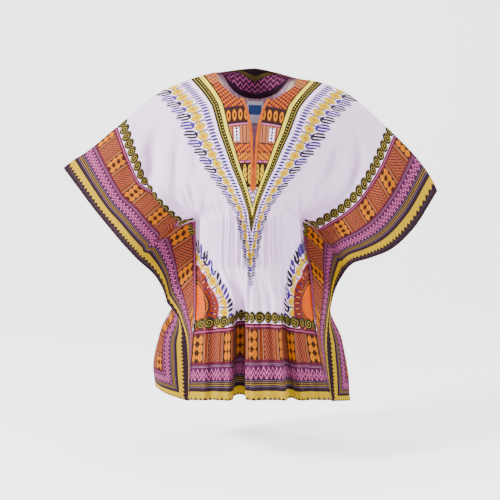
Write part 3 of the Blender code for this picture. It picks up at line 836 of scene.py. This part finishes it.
def flower_row(tree, out, run):
    """Dashes, then flowers on stems, then combs, as out grows from 0 to ROW_WIDTH and run goes along."""
    dash = (run.fold(7.3) / 2.5).round_with((out - 14.0) / 7.5) < 1.0
    colour = over(tree, "cloth", dash, "indigo")
    stem = ((run + FLOWER_PITCH / 2).fold(FLOWER_PITCH) < 1.5) * out.between(20.0, 54.0)
    colour = over(tree, colour, stem, "stem")
    aside = run.around(FLOWER_PITCH) / (FLOWER_PITCH / 2)
    up = (out - 35.0) / 12.5
    petal = aside * aside + up * up + (aside * up).op("ABSOLUTE") * 1.1
    colour = over(tree, colour, petal < 1.0, "petal")
    colour = over(tree, colour, petal.between(0.62, 1.0) * (aside * up > 0.12), "straw")
    colour = over(tree, colour, petal < 0.09, "amber")
    lean = run + (out - 50.0) * 0.35 + FLOWER_PITCH / 2
    tooth = (lean + 3.667).fold(7.333) > 1.15
    inside = (lean.around(FLOWER_PITCH) / 10.4).round_with((out - 58.0) / 14.0) < 1.0
    comb = inside * tooth.op("MAXIMUM", out < 50.0)
    turn = (lean + FLOWER_PITCH / 2).around(2 * FLOWER_PITCH) > 0.0
    feather = over(tree, "charcoal", turn, "indigo")
    colour = over(tree, colour, comb, feather)
    return colour, (dash + stem + (petal < 1.0) + comb) > 0.5


def zigzag(edge, run):
    """Two thin zigzag lines, one above the other, in their own band. Returns where they are."""
    rise = (edge - ZIGZAG[0]) / (ZIGZAG[1] - ZIGZAG[0])
    wave = run.fold(11.0) / 5.5 * 0.5
    low = (rise - wave).op("ABSOLUTE") < 0.085
    high = (rise - wave - 0.42).op("ABSOLUTE") < 0.085
    return low.op("MAXIMUM", high) * edge.between(*ZIGZAG)


def boxes(tree, edge, run):
    """Brown boxes with two columns of gold lobes, lines, and speckled boxes, along the border."""
    place = run.fold(BOX_PITCH)
    strip = stripes(tree, place, BOX_PITCH / 2, BOX_BANDS)
    level = (edge - (BOXES[0] + BOXES[1]) / 2).op("ABSOLUTE")
    lobe = ((place - 8.8) / 5.6).round_with(level.fold(13.2) / 6.2) < 1.0
    star = (place * 1.3 + level.fold(13.2)) < 3.4
    strip = over(tree, strip, (lobe + star > 0.5) * (place < 15.0), "gold")
    vein = ((place - 8.8) / 1.5).round_with(level.fold(13.2) / 3.6) < 1.0
    strip = over(tree, strip, vein, "orange")
    fleck = (run * 1.15).op("SINE") * (edge * 0.9 + run * 0.2).op("SINE")
    strip = over(tree, strip, (fleck > 0.34) * (place > 29.8), "beige")
    return over(tree, strip, (fleck < -0.3) * (place > 29.8), "plum")


def snails(tree, edge, run):
    """A row of round spirals just inside the border. Returns their colour and where they are."""
    across = run.around(SNAIL_PITCH)
    up = edge - BORDER_END - 12.0
    radius = across.round_with(up)
    disc = (radius < 11.6) * (edge > BORDER_END)
    turns = (radius / 5.4 + up.op("ARCTAN2", across) * 0.1592).op("FRACT")
    coil = (turns < 0.3) * (radius < 9.6)
    return over(tree, "snail", coil, "straw"), disc


def border(tree, edge, run):
    """The border from the cloth's edge inwards: toothed yellow stripe, lines, zigzag, boxes, snails."""
    colour = stripes(tree, edge, 160.0, BORDER_BANDS)
    tooth = edge - run.fold(11.0) * 1.2
    colour = over(tree, colour, (tooth > YELLOW[0]) * (edge < YELLOW[1]), "yellow")
    colour = over(tree, colour, zigzag(edge, run), "pink")
    dots = (run.fold(3.4) > 0.85) * edge.between(127.5, 129.0)
    colour = over(tree, colour, dots, "plum")
    colour = over(tree, colour, edge.between(*BOXES), boxes(tree, edge, run))
    snail, disc = snails(tree, edge, run)
    return over(tree, colour, disc, snail), (edge < BORDER_END).op("MAXIMUM", disc)


def read(tree, value, reach, top, table):
    """A quantity read off a table by straight lines between its entries, as value grows from 0 to reach."""
    node = tree.nodes.new("ShaderNodeValToRGB")
    ramp = node.color_ramp
    ramp.elements.remove(ramp.elements[1])
    for index, (place, amount) in enumerate(table):
        stop = ramp.elements[0] if index == 0 else ramp.elements.new(place / reach)
        stop.position = place / reach
        stop.color = (amount / top, amount / top, amount / top, 1.0)
    tree.links.new((value / reach).socket, node.inputs["Fac"])
    return Value(tree, node.outputs["Color"]) * top


def neck_rows(tree, across, down):
    """What lies inside the neck band: speckled rows, a row of leaves, beaded boxes and tall leaves."""
    inner = stripes(tree, down, NECK_TIP, NECK_ROWS)
    fleck = (across * 0.62).op("SINE") * (down * 0.55 + across * 0.3).op("SINE")
    leaf = ((across - 21.0).around(14.5) / 5.0).round_with((down - 119.5) / 11.5)
    tall = ((across - 12.0).around(15.0) / 6.0).round_with((down - 243.0) / 22.0)
    column = (across - 46.0).op("ABSOLUTE") < 7.0
    bead = ((across - 46.0) / 2.6).round_with(down.fold(6.4) / 2.4) < 1.0
    for share, name in (
        ((fleck > 0.32) * (down < 101.0).op("MAXIMUM", down.between(178.5, 211.0)), "gold"),
        ((fleck < -0.3) * (down < 101.0).op("MAXIMUM", down.between(178.5, 270.0)), "plum"),
        ((leaf < 1.0) * down.between(105.0, 134.0), "gold"),
        ((leaf < 0.4) * down.between(105.0, 134.0), "brown"),
        ((tall > 1.0) * down.between(217.0, 270.0), "brown"),
        (((across - 30.0).fold(9.0) < 1.1) * down.between(141.0, 176.0), "plum"),
        (column * down.between(145.0, 173.0), "cloth"),
        (bead * down.between(145.0, 173.0), "charcoal"),
        ((fleck > 0.1) * (down > 272.0), "cloth"),
    ):
        inner = over(tree, inner, share, name)
    return inner


def neck_print(tree, across, down):
    """The pointed neck print: its rows, the band along their outline, then the row of flowers.

    Out is how far a place is past the outline.
    """
    outline = read(tree, down, NECK_TIP, 150.0, NECK_OUTLINE)
    below = (down - NECK_TIP).op("MAXIMUM", 0.0)
    out = (across - outline + below * 0.4255) * 0.95
    band = stripes(tree, out + NECK_BAND_WIDTH, NECK_BAND_WIDTH, NECK_BAND)
    seed = (down.fold(6.4) / 1.1).round_with((out + 10.6) / 1.1) < 1.0
    band = over(tree, band, seed, "cream")
    colour = over(tree, band, out < -NECK_BAND_WIDTH, neck_rows(tree, across, down))
    narrow = (down - 150.0).op("MAXIMUM", 0.0).op("MINIMUM", NECK_TIP - 150.0)
    scaled = out / (narrow * -0.0016 + 1.1)
    row = use(tree, GROUPS["row"], Out=scaled, Run=down * 1.04)
    colour = over(tree, colour, out > 0.0, row.outputs["Color"])
    outside = Value(tree, row.outputs["Mask"]) * (out > 0.0) * (scaled < ROW_WIDTH)
    return colour, outside.op("MAXIMUM", out < 0.0) * (down < 500.0)


def half_sun(tree, across, down):
    """Half a sun on the side border: rings about a point, with the flower row outside."""
    aside = across.less_from(SUN_ACROSS) * 0.86
    below = (down - SUN_DOWN) * 0.92
    radius = aside.round_with(below)
    angle = below.op("ARCTAN2", aside)
    colour = stripes(tree, radius, 130.0, SUN_RINGS)
    speck = (aside.fold(5.6) / 1.5).round_with(below.fold(5.6) / 1.5) < 1.0
    colour = over(tree, colour, speck * radius.between(20.0, 37.0), "amber")
    bead = ((angle * 42.0).fold(4.4) < 1.0) * radius.between(40.6, 43.4)
    colour = over(tree, colour, bead, "aubergine")
    loop = ((angle * 58.0).fold(10.6) / 3.5).round_with((radius - 58.0) / 10.0)
    colour = over(tree, colour, loop < 1.0, "purple")
    colour = over(tree, colour, loop < 0.42, "amber")
    row = use(tree, GROUPS["row"], Out=radius - 50.0, Run=angle * 90.0)
    colour = over(tree, colour, radius > SUN_RADIUS, row.outputs["Color"])
    mask = (Value(tree, row.outputs["Mask"]) * (radius < 124.0)).op("MAXIMUM", radius < SUN_RADIUS)
    return colour, mask * (aside > -6.0)


def whole_print(tree, across, down):
    """Everything on a panel: plain ground, suns, neck print, then the border with its mitred corners."""
    side = across.op("ABSOLUTE")
    from_side = side.less_from(HALF_WIDTH)
    from_hem = read(tree, down.less_from(LENGTH), 400.0, 400.0, HEM_BANDS)
    at_side = from_side < from_hem
    edge = from_side.op("MINIMUM", from_hem)
    run = at_side * down + at_side.less_from(1.0) * across
    colour = "cloth"
    for layer in (
        use(tree, GROUPS["sun"], Across=side, Down=down),
        use(tree, GROUPS["neck"], Across=side, Down=down),
        use(tree, GROUPS["border"], Edge=edge, Run=run),
    ):
        colour = over(tree, colour, Value(tree, layer.outputs["Mask"]), layer.outputs["Color"])
    return (colour,)


def weave(tree, across, down):
    """Plain weave: threads over and under each other, a little uneven. Returns height and shade: the
    threads' own uneven tone, with painted shade darkening the hollows between them.
    """
    warp = (across / THREAD_PITCH * np.pi).op("SINE").op("ABSOLUTE")
    weft = (down / THREAD_PITCH * np.pi).op("SINE").op("ABSOLUTE")
    height = warp * weft
    slub = tree.nodes.new("ShaderNodeTexNoise")
    slub.inputs["Scale"].default_value = 0.6
    slub.inputs["Detail"].default_value = 4.0
    place = tree.nodes.new("ShaderNodeCombineXYZ")
    tree.links.new((across * 0.25).socket, place.inputs["X"])
    tree.links.new(down.socket, place.inputs["Y"])
    tree.links.new(place.outputs["Vector"], slub.inputs["Vector"])
    uneven = Value(tree, slub.outputs["Fac"])
    # Painted shade: height lightens the threads' crowns and darkens the hollows between them; slub is their
    # own uneven tone.
    return height + uneven * 0.6, uneven * 0.16 + height * 0.05 + 0.88


def facing_print(tree, across, row):
    """The neck facing: a dark point at the top, slanted lines, a zigzag field and a line by the edge."""
    side = across.op("ABSOLUTE")
    slant = row + side * 0.5
    colour = stripes(tree, slant, 60.0, FACING_LINES)
    wave = row + side.fold(15.0) * 1.35
    colour = over(tree, colour, (wave.fold(12.0) > 3.9) * (slant > 42.0), "pink")
    lower = side * side * -0.0016 + row.less_from(76.0) + side * -0.2
    colour = over(tree, colour, lower < 7.0, "aubergine")
    colour = over(tree, colour, (lower - 3.6).op("ABSOLUTE") < 0.9, "purple")
    return (colour,)


def plain_tape(tree, across, row):
    """A woven tape with one plain block across its middle."""
    block = (across.op("ABSOLUTE") < 18.0) * ((row - 110.0).op("ABSOLUTE") < 12.0)
    return (over(tree, "label", block, "badge"),)


def bias_strip(tree, across, row):
    """Plain dyed cotton with painted shade: a little darker and redder in diagonal bands."""
    # Painted shade: diagonal bands where the binding is mixed towards coral, darker and redder.
    painted_shade_band = ((row + across.op("ABSOLUTE")) / 7.0).op("SINE") * 0.5 + 0.5
    return (over(tree, "binding", painted_shade_band * 0.35, "coral"),)


def make_groups():
    """The shared node groups, small ones first: the whole print is built from the others."""
    for name, inputs, outputs, fill in (
        ("weave", ("Across", "Down"), (("Height", "NodeSocketFloat"), ("Shade", "NodeSocketFloat")), weave),
        ("row", ("Out", "Run"), PRINT, flower_row),
        ("border", ("Edge", "Run"), PRINT, border),
        ("sun", ("Across", "Down"), PRINT, half_sun),
        ("neck", ("Across", "Down"), PRINT, neck_print),
        ("panel_print", ("Across", "Down"), PRINT[:1], whole_print),
        ("facing_print", ("Across", "Down"), PRINT[:1], facing_print),
        ("label_tape", ("Across", "Down"), PRINT[:1], plain_tape),
        ("bias_strip", ("Across", "Down"), PRINT[:1], bias_strip),
    ):
        GROUPS[name] = group(name, inputs, outputs, fill)


def node_material(name):
    """A new material, its node tree and its shader."""
    material = bpy.data.materials.new(name)
    material.use_nodes = True
    tree = material.node_tree
    return material, tree, tree.nodes["Principled BSDF"]


def cloth_material(name, pattern, wrong_side=0.0, roughness=0.85, sheen=0.02):
    """Matt woven cotton with a pattern from a group, in flat cloth millimetres from the UV map.

    wrong_side is how far the pattern fades into the bare cloth, as the inside of a print does.
    """
    material, tree, shader = node_material(name)
    places = tree.nodes.new("ShaderNodeUVMap")
    places.uv_map = "cloth"
    parts = tree.nodes.new("ShaderNodeSeparateXYZ")
    tree.links.new(places.outputs["UV"], parts.inputs["Vector"])
    across = Value(tree, parts.outputs["X"]).op("MULTIPLY_ADD", 1000.0, -HALF_WIDTH)
    down = Value(tree, parts.outputs["Y"]) * 1000.0
    colour = use(tree, GROUPS[pattern], Across=across, Down=down).outputs["Color"]
    threads = use(tree, GROUPS["weave"], Across=across, Down=down)
    if wrong_side:
        fade = tree.nodes.new("ShaderNodeMix")
        fade.data_type = "RGBA"
        fade.inputs["Factor"].default_value = wrong_side
        fade.inputs["B"].default_value = ink("cloth")
        tree.links.new(colour, fade.inputs["A"])
        colour = fade.outputs["Result"]
    # The weave's shade scales the colour: the slub's uneven tone and painted shade between the threads.
    tone = tree.nodes.new("ShaderNodeHueSaturation")
    tree.links.new(colour, tone.inputs["Color"])
    tree.links.new(threads.outputs["Shade"], tone.inputs["Value"])
    tree.links.new(tone.outputs["Color"], shader.inputs["Base Color"])
    bump = tree.nodes.new("ShaderNodeBump")
    bump.inputs["Strength"].default_value = 0.35
    bump.inputs["Distance"].default_value = 0.00025
    tree.links.new(threads.outputs["Height"], bump.inputs["Height"])
    tree.links.new(bump.outputs["Normal"], shader.inputs["Normal"])
    shader.inputs["Roughness"].default_value = roughness
    shader.inputs["Specular IOR Level"].default_value = 0.12
    shader.inputs["Sheen Weight"].default_value = sheen
    shader.inputs["Sheen Roughness"].default_value = 0.5
    return material


def finish_for(name):
    """One of the top's materials, made the first time that a piece needs it."""
    if name not in bpy.data.materials:
        recipes = {
            "printed_face": ("panel_print",),
            "printed_inside": ("panel_print", 0.4),
            "facing_face": ("facing_print",),
            "facing_inside": ("facing_print", 0.4),
            "orange_bias": ("bias_strip",),
            "woven_tape": ("label_tape", 0.0, 0.5, 0.35),
        }
        if not GROUPS:
            make_groups()
        cloth_material(name, *recipes[name])
    return bpy.data.materials[name]


def thread_material():
    """Twisted sewing thread: a slanted ripple along each stitch."""
    name = "sewing_thread"
    if name in bpy.data.materials:
        return bpy.data.materials[name]
    material, tree, shader = node_material(name)
    places = tree.nodes.new("ShaderNodeTexCoord")
    ply = tree.nodes.new("ShaderNodeTexWave")
    ply.inputs["Scale"].default_value = 900.0
    tree.links.new(places.outputs["Object"], ply.inputs["Vector"])
    colour = over(tree, "thread", Value(tree, ply.outputs["Fac"]) * 0.3, "mauve")
    tree.links.new(colour, shader.inputs["Base Color"])
    shader.inputs["Roughness"].default_value = 0.6
    shader.inputs["Sheen Weight"].default_value = 0.2
    return material


def stitch_places(line, pitch):
    """Places a pitch apart along a line of points: the length so far, read at even steps."""
    length = np.concatenate([[0], np.cumsum(np.linalg.norm(np.diff(line, axis=0), axis=1))])
    steps = np.arange(pitch * 0.5, length[-1], pitch)
    return np.stack([np.interp(steps, length, line[:, k]) for k in range(3)], 1)


def stitches(lines, pitch, width):
    """Points and faces of stitches: each a six-sided spindle, 0.72 of a pitch long, lying on its line.

    Ring k is round the stitch's middle plus reach k along the line. At angle a its point is out by
    half the width times swell k, along the cosine of a times aside plus 0.6 of the sine of a times up.
    """
    reach = np.array([-0.36, -0.26, 0.0, 0.26, 0.36]) * pitch
    swell = np.array([0.15, 0.8, 1.0, 0.8, 0.15]) * width / 2
    angle = np.arange(6) * np.pi / 3
    points = []
    for line, up in lines:
        centre = stitch_places(line, pitch)
        share = np.linspace(0, 1, len(centre))
        lift = unit(np.stack([np.interp(share, np.linspace(0, 1, len(up)), up[:, k]) for k in range(3)], 1))
        travel = unit(np.gradient(centre, axis=0))
        aside = unit(np.cross(travel, lift))
        ring = aside[:, None] * np.cos(angle)[:, None] + 0.6 * lift[:, None] * np.sin(angle)[:, None]
        spindle = centre[:, None, None] + travel[:, None, None] * reach[:, None, None]
        points.append((spindle + ring[:, None] * swell[:, None, None]).reshape(-1, 3))
    points = np.concatenate(points)
    ring = np.arange(6)
    turn = np.roll(ring, -1)
    side = np.concatenate([np.stack([ring, turn, turn + 6, ring + 6], 1) + 6 * k for k in range(4)])
    caps = np.array([[0, 3, 2, 1], [0, 5, 4, 3], [24, 25, 26, 27], [24, 27, 28, 29]])
    one = np.concatenate([side, caps])
    count = len(points) // 30
    return points, (one + np.arange(count)[:, None, None] * 30).reshape(-1, 4)


def seam_line(panel, across, down, lift=CLOTH_LOW + CLOTH_THICK):
    """A line on a panel's outside, in millimetres, with the normals there."""
    across = np.asarray(across, float)
    down = np.asarray(down, float)
    low, high = cloth_layers(panel, across, down)
    up = unit(high - low)
    return low + up * (lift - CLOTH_LOW), up


def stitching(name, lines, pitch, width):
    """One joined mesh of all the stitches along some lines."""
    points, faces = stitches(lines, pitch, width)
    places = np.zeros((len(points), 2))
    return surface(name, points, faces, places, np.zeros(len(faces), np.int32), [thread_material()])


def add(piece, slot, *nodes):
    """Puts a finished piece on the body and in the place of the nodes that it stands for."""
    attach(piece, "root")
    if nodes:
        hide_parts(*nodes)
    return piece


class TopSizes(bpy.types.PropertyGroup):
    """Sizes that a user may change."""

    stitch_pitch: FloatProperty(
        name="Stitch pitch", description="Length of one machine stitch with its gap", unit="LENGTH",
        default=0.003, min=0.002, max=0.006,
    )
    stitch_width: FloatProperty(
        name="Stitch width", description="Thickness of the sewing thread", unit="LENGTH",
        default=0.0007, min=0.0003, max=0.0015,
    )
    hem_inset: FloatProperty(
        name="Hem inset", description="How far the hem's stitches are from the edge", unit="LENGTH",
        default=0.009, min=0.004, max=0.02,
    )
    binding_width: FloatProperty(
        name="Binding width", description="Width of the bias strip beside the slit", unit="LENGTH",
        default=0.009, min=0.005, max=0.011,
    )
    floor_height: FloatProperty(
        name="Floor height", description="Height of the studio floor below the shoulders", unit="LENGTH",
        default=-0.76, min=-2.0, max=-0.73,
    )


class DASHIKI_OT_front_panel(bpy.types.Operator):
    """Build the printed front panel"""

    bl_idname = "dashiki.front_panel"
    bl_label = "Front panel"

    def execute(self, context):
        materials = [finish_for("printed_face"), finish_for("printed_inside")]
        piece = panel_piece("front_cloth", "front", materials)
        add(piece, "printed_cotton", "front")
        return {"FINISHED"}


class DASHIKI_OT_back_panel(bpy.types.Operator):
    """Build the printed back panel"""

    bl_idname = "dashiki.back_panel"
    bl_label = "Back panel"

    def execute(self, context):
        materials = [finish_for("printed_face"), finish_for("printed_inside")]
        piece = panel_piece("back_cloth", "back", materials)
        add(piece, "printed_cotton_back", "back")
        return {"FINISHED"}


class DASHIKI_OT_slit_binding(bpy.types.Operator):
    """Build the orange bias strip round the slit"""

    bl_idname = "dashiki.slit_binding"
    bl_label = "Slit binding"

    def execute(self, context):
        width = context.scene.top_sizes.binding_width / MM
        rows = np.sort(np.append(np.linspace(0, SLIT_ROW + 0.016, 90), SLIT_ROW))
        distances = np.linspace(0, width, 9)
        swell = STRIP_SWELL * np.sin(np.pi * np.clip(distances / width, 0, 1)) ** 0.5
        low = CLOTH_LOW + CLOTH_THICK + STRIP_GAP + np.concatenate([swell[::-1], swell])
        apart = int(np.argmin(np.abs(rows - SLIT_ROW)))
        grid = np.repeat(rows[:, None], len(distances), 1)
        materials = [finish_for("orange_bias")]
        piece = laid_piece("slit_bias_strip", "front", distances, grid, low, CLOTH_THICK, materials, apart)
        add(piece, "orange_binding", "slit_binding")
        return {"FINISHED"}


class DASHIKI_OT_neck_facing(bpy.types.Operator):
    """Build the crescent facing inside the back of the neck"""

    bl_idname = "dashiki.neck_facing"
    bl_label = "Neck facing"

    def execute(self, context):
        distances = np.linspace(0, NECK_HALF_WIDTH, 40)
        lower = FACING_DEPTH * (0.3 + 0.7 * np.sqrt(1 - (distances / NECK_HALF_WIDTH) ** 2))
        rows = FACING_TOP + (lower - FACING_TOP) * np.linspace(0, 1, 24)[:, None]
        materials = [finish_for("facing_face"), finish_for("facing_inside")]
        piece = laid_piece(
            "back_neck_facing", "back", distances, rows, -INSIDE_GAP, -FACING_THICK, materials, 0
        )
        add(piece, "facing_cotton", "neck_facing")
        return {"FINISHED"}


class DASHIKI_OT_label(bpy.types.Operator):
    """Build the plain woven label inside the back of the neck"""

    bl_idname = "dashiki.label"
    bl_label = "Label"

    def execute(self, context):
        distances = np.linspace(0, LABEL_HALF_WIDTH, 12)
        rows = np.repeat(np.linspace(*LABEL_ROWS, 20)[:, None], len(distances), 1)
        materials = [finish_for("woven_tape")]
        piece = laid_piece(
            "woven_label", "back", distances, rows, -INSIDE_GAP, -LABEL_THICK, materials, 0
        )
        add(piece, "label_tape", "label")
        return {"FINISHED"}


def panel_lines(panel, inset):
    """A panel's lines of stitches: its hem, both sleeve edges and both halves of the neck."""
    side = np.linspace(-HALF_WIDTH + inset, HALF_WIDTH - inset, 500)
    lines = [seam_line(panel, side, np.full(len(side), 1 - inset / LENGTH))]
    for way in (-1, 1):
        down = np.linspace(inset / LENGTH, SLEEVE_END[way] - 0.01, 200)
        lines.append(seam_line(panel, np.full(len(down), way * (HALF_WIDTH - inset)), down))
    for way in (-1, 1):
        distance = np.linspace(NECK_HALF_WIDTH - 1, 14 if panel == "front" else 1, 120)
        across, down = cloth_place(panel, way, distance, np.full(len(distance), 4 / LENGTH))
        lines.append(seam_line(panel, across, down))
    return lines


def binding_lines(width):
    """The lines of stitches down each side of the slit, 1.2 mm in from the bias strip's outer edge."""
    lines = []
    for way in (-1, 1):
        row = np.linspace(0.004, SLIT_ROW + 0.012, 160)
        across, down = cloth_place("front", way, np.full(len(row), width - 1.2), row)
        lines.append(seam_line("front", across, down, CLOTH_LOW + CLOTH_THICK + 1.2))
    return lines


class DASHIKI_OT_stitching(bpy.types.Operator):
    """Sew the hem, the sleeve edges, the neck and the binding"""

    bl_idname = "dashiki.stitching"
    bl_label = "Stitching"

    def execute(self, context):
        sizes = context.scene.top_sizes
        inset = sizes.hem_inset / MM
        for name, slot, lines in (
            ("front_stitches", "printed_cotton", panel_lines("front", inset)),
            ("back_stitches", "printed_cotton_back", panel_lines("back", inset)),
            ("binding_stitches", "orange_binding", binding_lines(sizes.binding_width / MM)),
        ):
            add(stitching(name, lines, sizes.stitch_pitch / MM, sizes.stitch_width / MM), slot)
        return {"FINISHED"}


def pale_paper():
    """Nearly white paper with a faint grain, which the camera sees lit evenly all over."""
    material, tree, shader = node_material("pale_paper")
    places = tree.nodes.new("ShaderNodeTexCoord")
    grain = tree.nodes.new("ShaderNodeTexNoise")
    grain.inputs["Scale"].default_value = 3.0
    tree.links.new(places.outputs["Object"], grain.inputs["Vector"])
    paper = Value(tree, grain.outputs["Fac"]) * 0.01
    tone = tree.nodes.new("ShaderNodeHueSaturation")
    tone.inputs["Color"].default_value = (0.95, 0.95, 0.95, 1)
    tree.links.new((paper + 0.99).socket, tone.inputs["Value"])
    tree.links.new(tone.outputs["Color"], shader.inputs["Base Color"])
    shader.inputs["Roughness"].default_value = 0.9
    shader.inputs["Emission Color"].default_value = (1, 1, 1, 1)
    seen = Value(tree, tree.nodes.new("ShaderNodeLightPath").outputs["Is Camera Ray"])
    tree.links.new((seen * 1.6).socket, shader.inputs["Emission Strength"])
    return material


def studio_floor(height):
    """A floor that sweeps up behind the top: each row of SWEEP spans its whole width."""
    back, rise = np.array(SWEEP).T
    x, y = np.meshgrid(np.linspace(-5, 5, 3), back)
    points = np.stack([x, y, np.repeat(rise[:, None] + height, 3, 1)], -1)
    ids = np.arange(points[..., 0].size).reshape(x.shape)
    quads = np.stack([ids[:-1, :-1], ids[:-1, 1:], ids[1:, 1:], ids[1:, :-1]], -1).reshape(-1, 4)
    points = points.reshape(-1, 3) / MM
    slots = np.zeros(len(quads), np.int32)
    return surface("studio_floor", points, quads, np.zeros((len(points), 2)), slots, [pale_paper()])


def stand(name, data, place, aim):
    """Puts a lamp or camera at a place, aimed at another."""
    item = bpy.data.objects.new(name, data)
    item.location = place
    item.rotation_euler = (Vector(aim) - Vector(place)).to_track_quat("-Z", "Y").to_euler()
    bpy.context.scene.collection.objects.link(item)
    return item


def studio_world():
    """White surroundings: dim where they light the cloth, bright where the camera sees them."""
    world = bpy.data.worlds.new("studio")
    world.use_nodes = True
    tree = world.node_tree
    background = tree.nodes["Background"]
    background.inputs["Color"].default_value = (1, 1, 1, 1)
    seen = Value(tree, tree.nodes.new("ShaderNodeLightPath").outputs["Is Camera Ray"])
    tree.links.new(seen.op("MULTIPLY_ADD", 2.6, 0.16).socket, background.inputs["Strength"])
    return world


class DASHIKI_OT_stage(bpy.types.Operator):
    """Build the pale floor, the soft lights and the camera"""

    bl_idname = "dashiki.stage"
    bl_label = "Stage"

    def execute(self, context):
        studio_floor(context.scene.top_sizes.floor_height)
        for name, place, aim, size, watts in LAMPS:
            lamp = bpy.data.lights.new(name, "AREA")
            lamp.shape = "DISK"
            lamp.size = size
            lamp.energy = watts
            stand(name, lamp, place, aim)
        context.scene.world = studio_world()
        lens = bpy.data.cameras.new("photo_camera")
        lens.lens = LENS
        context.scene.camera = stand("photo_camera", lens, CAMERA_PLACE, CAMERA_AIM)
        return {"FINISHED"}


class DASHIKI_PT_panel(bpy.types.Panel):
    """Sidebar panel with the sizes, the inks and a button for each piece"""

    bl_idname = "DASHIKI_PT_panel"
    bl_label = "Dashiki top"
    bl_space_type = "VIEW_3D"
    bl_region_type = "UI"
    bl_category = "Dashiki"

    def draw(self, context):
        for settings in (context.scene.top_sizes, context.scene.print_inks):
            box = self.layout.box()
            for name in settings.bl_rna.properties.keys():
                if name not in ("rna_type", "name"):
                    box.prop(settings, name)
        for operator in OPERATORS:
            self.layout.operator(operator.bl_idname)


OPERATORS = (
    DASHIKI_OT_front_panel,
    DASHIKI_OT_back_panel,
    DASHIKI_OT_slit_binding,
    DASHIKI_OT_neck_facing,
    DASHIKI_OT_label,
    DASHIKI_OT_stitching,
    DASHIKI_OT_stage,
)
CLASSES = (PrintInks, TopSizes, *OPERATORS, DASHIKI_PT_panel)


def register():
    for item in CLASSES:
        bpy.utils.register_class(item)
    bpy.types.Scene.top_sizes = PointerProperty(type=TopSizes)
    bpy.types.Scene.print_inks = PointerProperty(type=PrintInks)


def unregister():
    del bpy.types.Scene.print_inks
    del bpy.types.Scene.top_sizes
    for item in reversed(CLASSES):
        bpy.utils.unregister_class(item)


def main():
    register()
    bpy.ops.dashiki.front_panel()
    bpy.ops.dashiki.back_panel()
    bpy.ops.dashiki.slit_binding()
    bpy.ops.dashiki.neck_facing()
    bpy.ops.dashiki.label()
    bpy.ops.dashiki.stitching()
    bpy.ops.dashiki.stage()


if __name__ == "__main__":
    main()
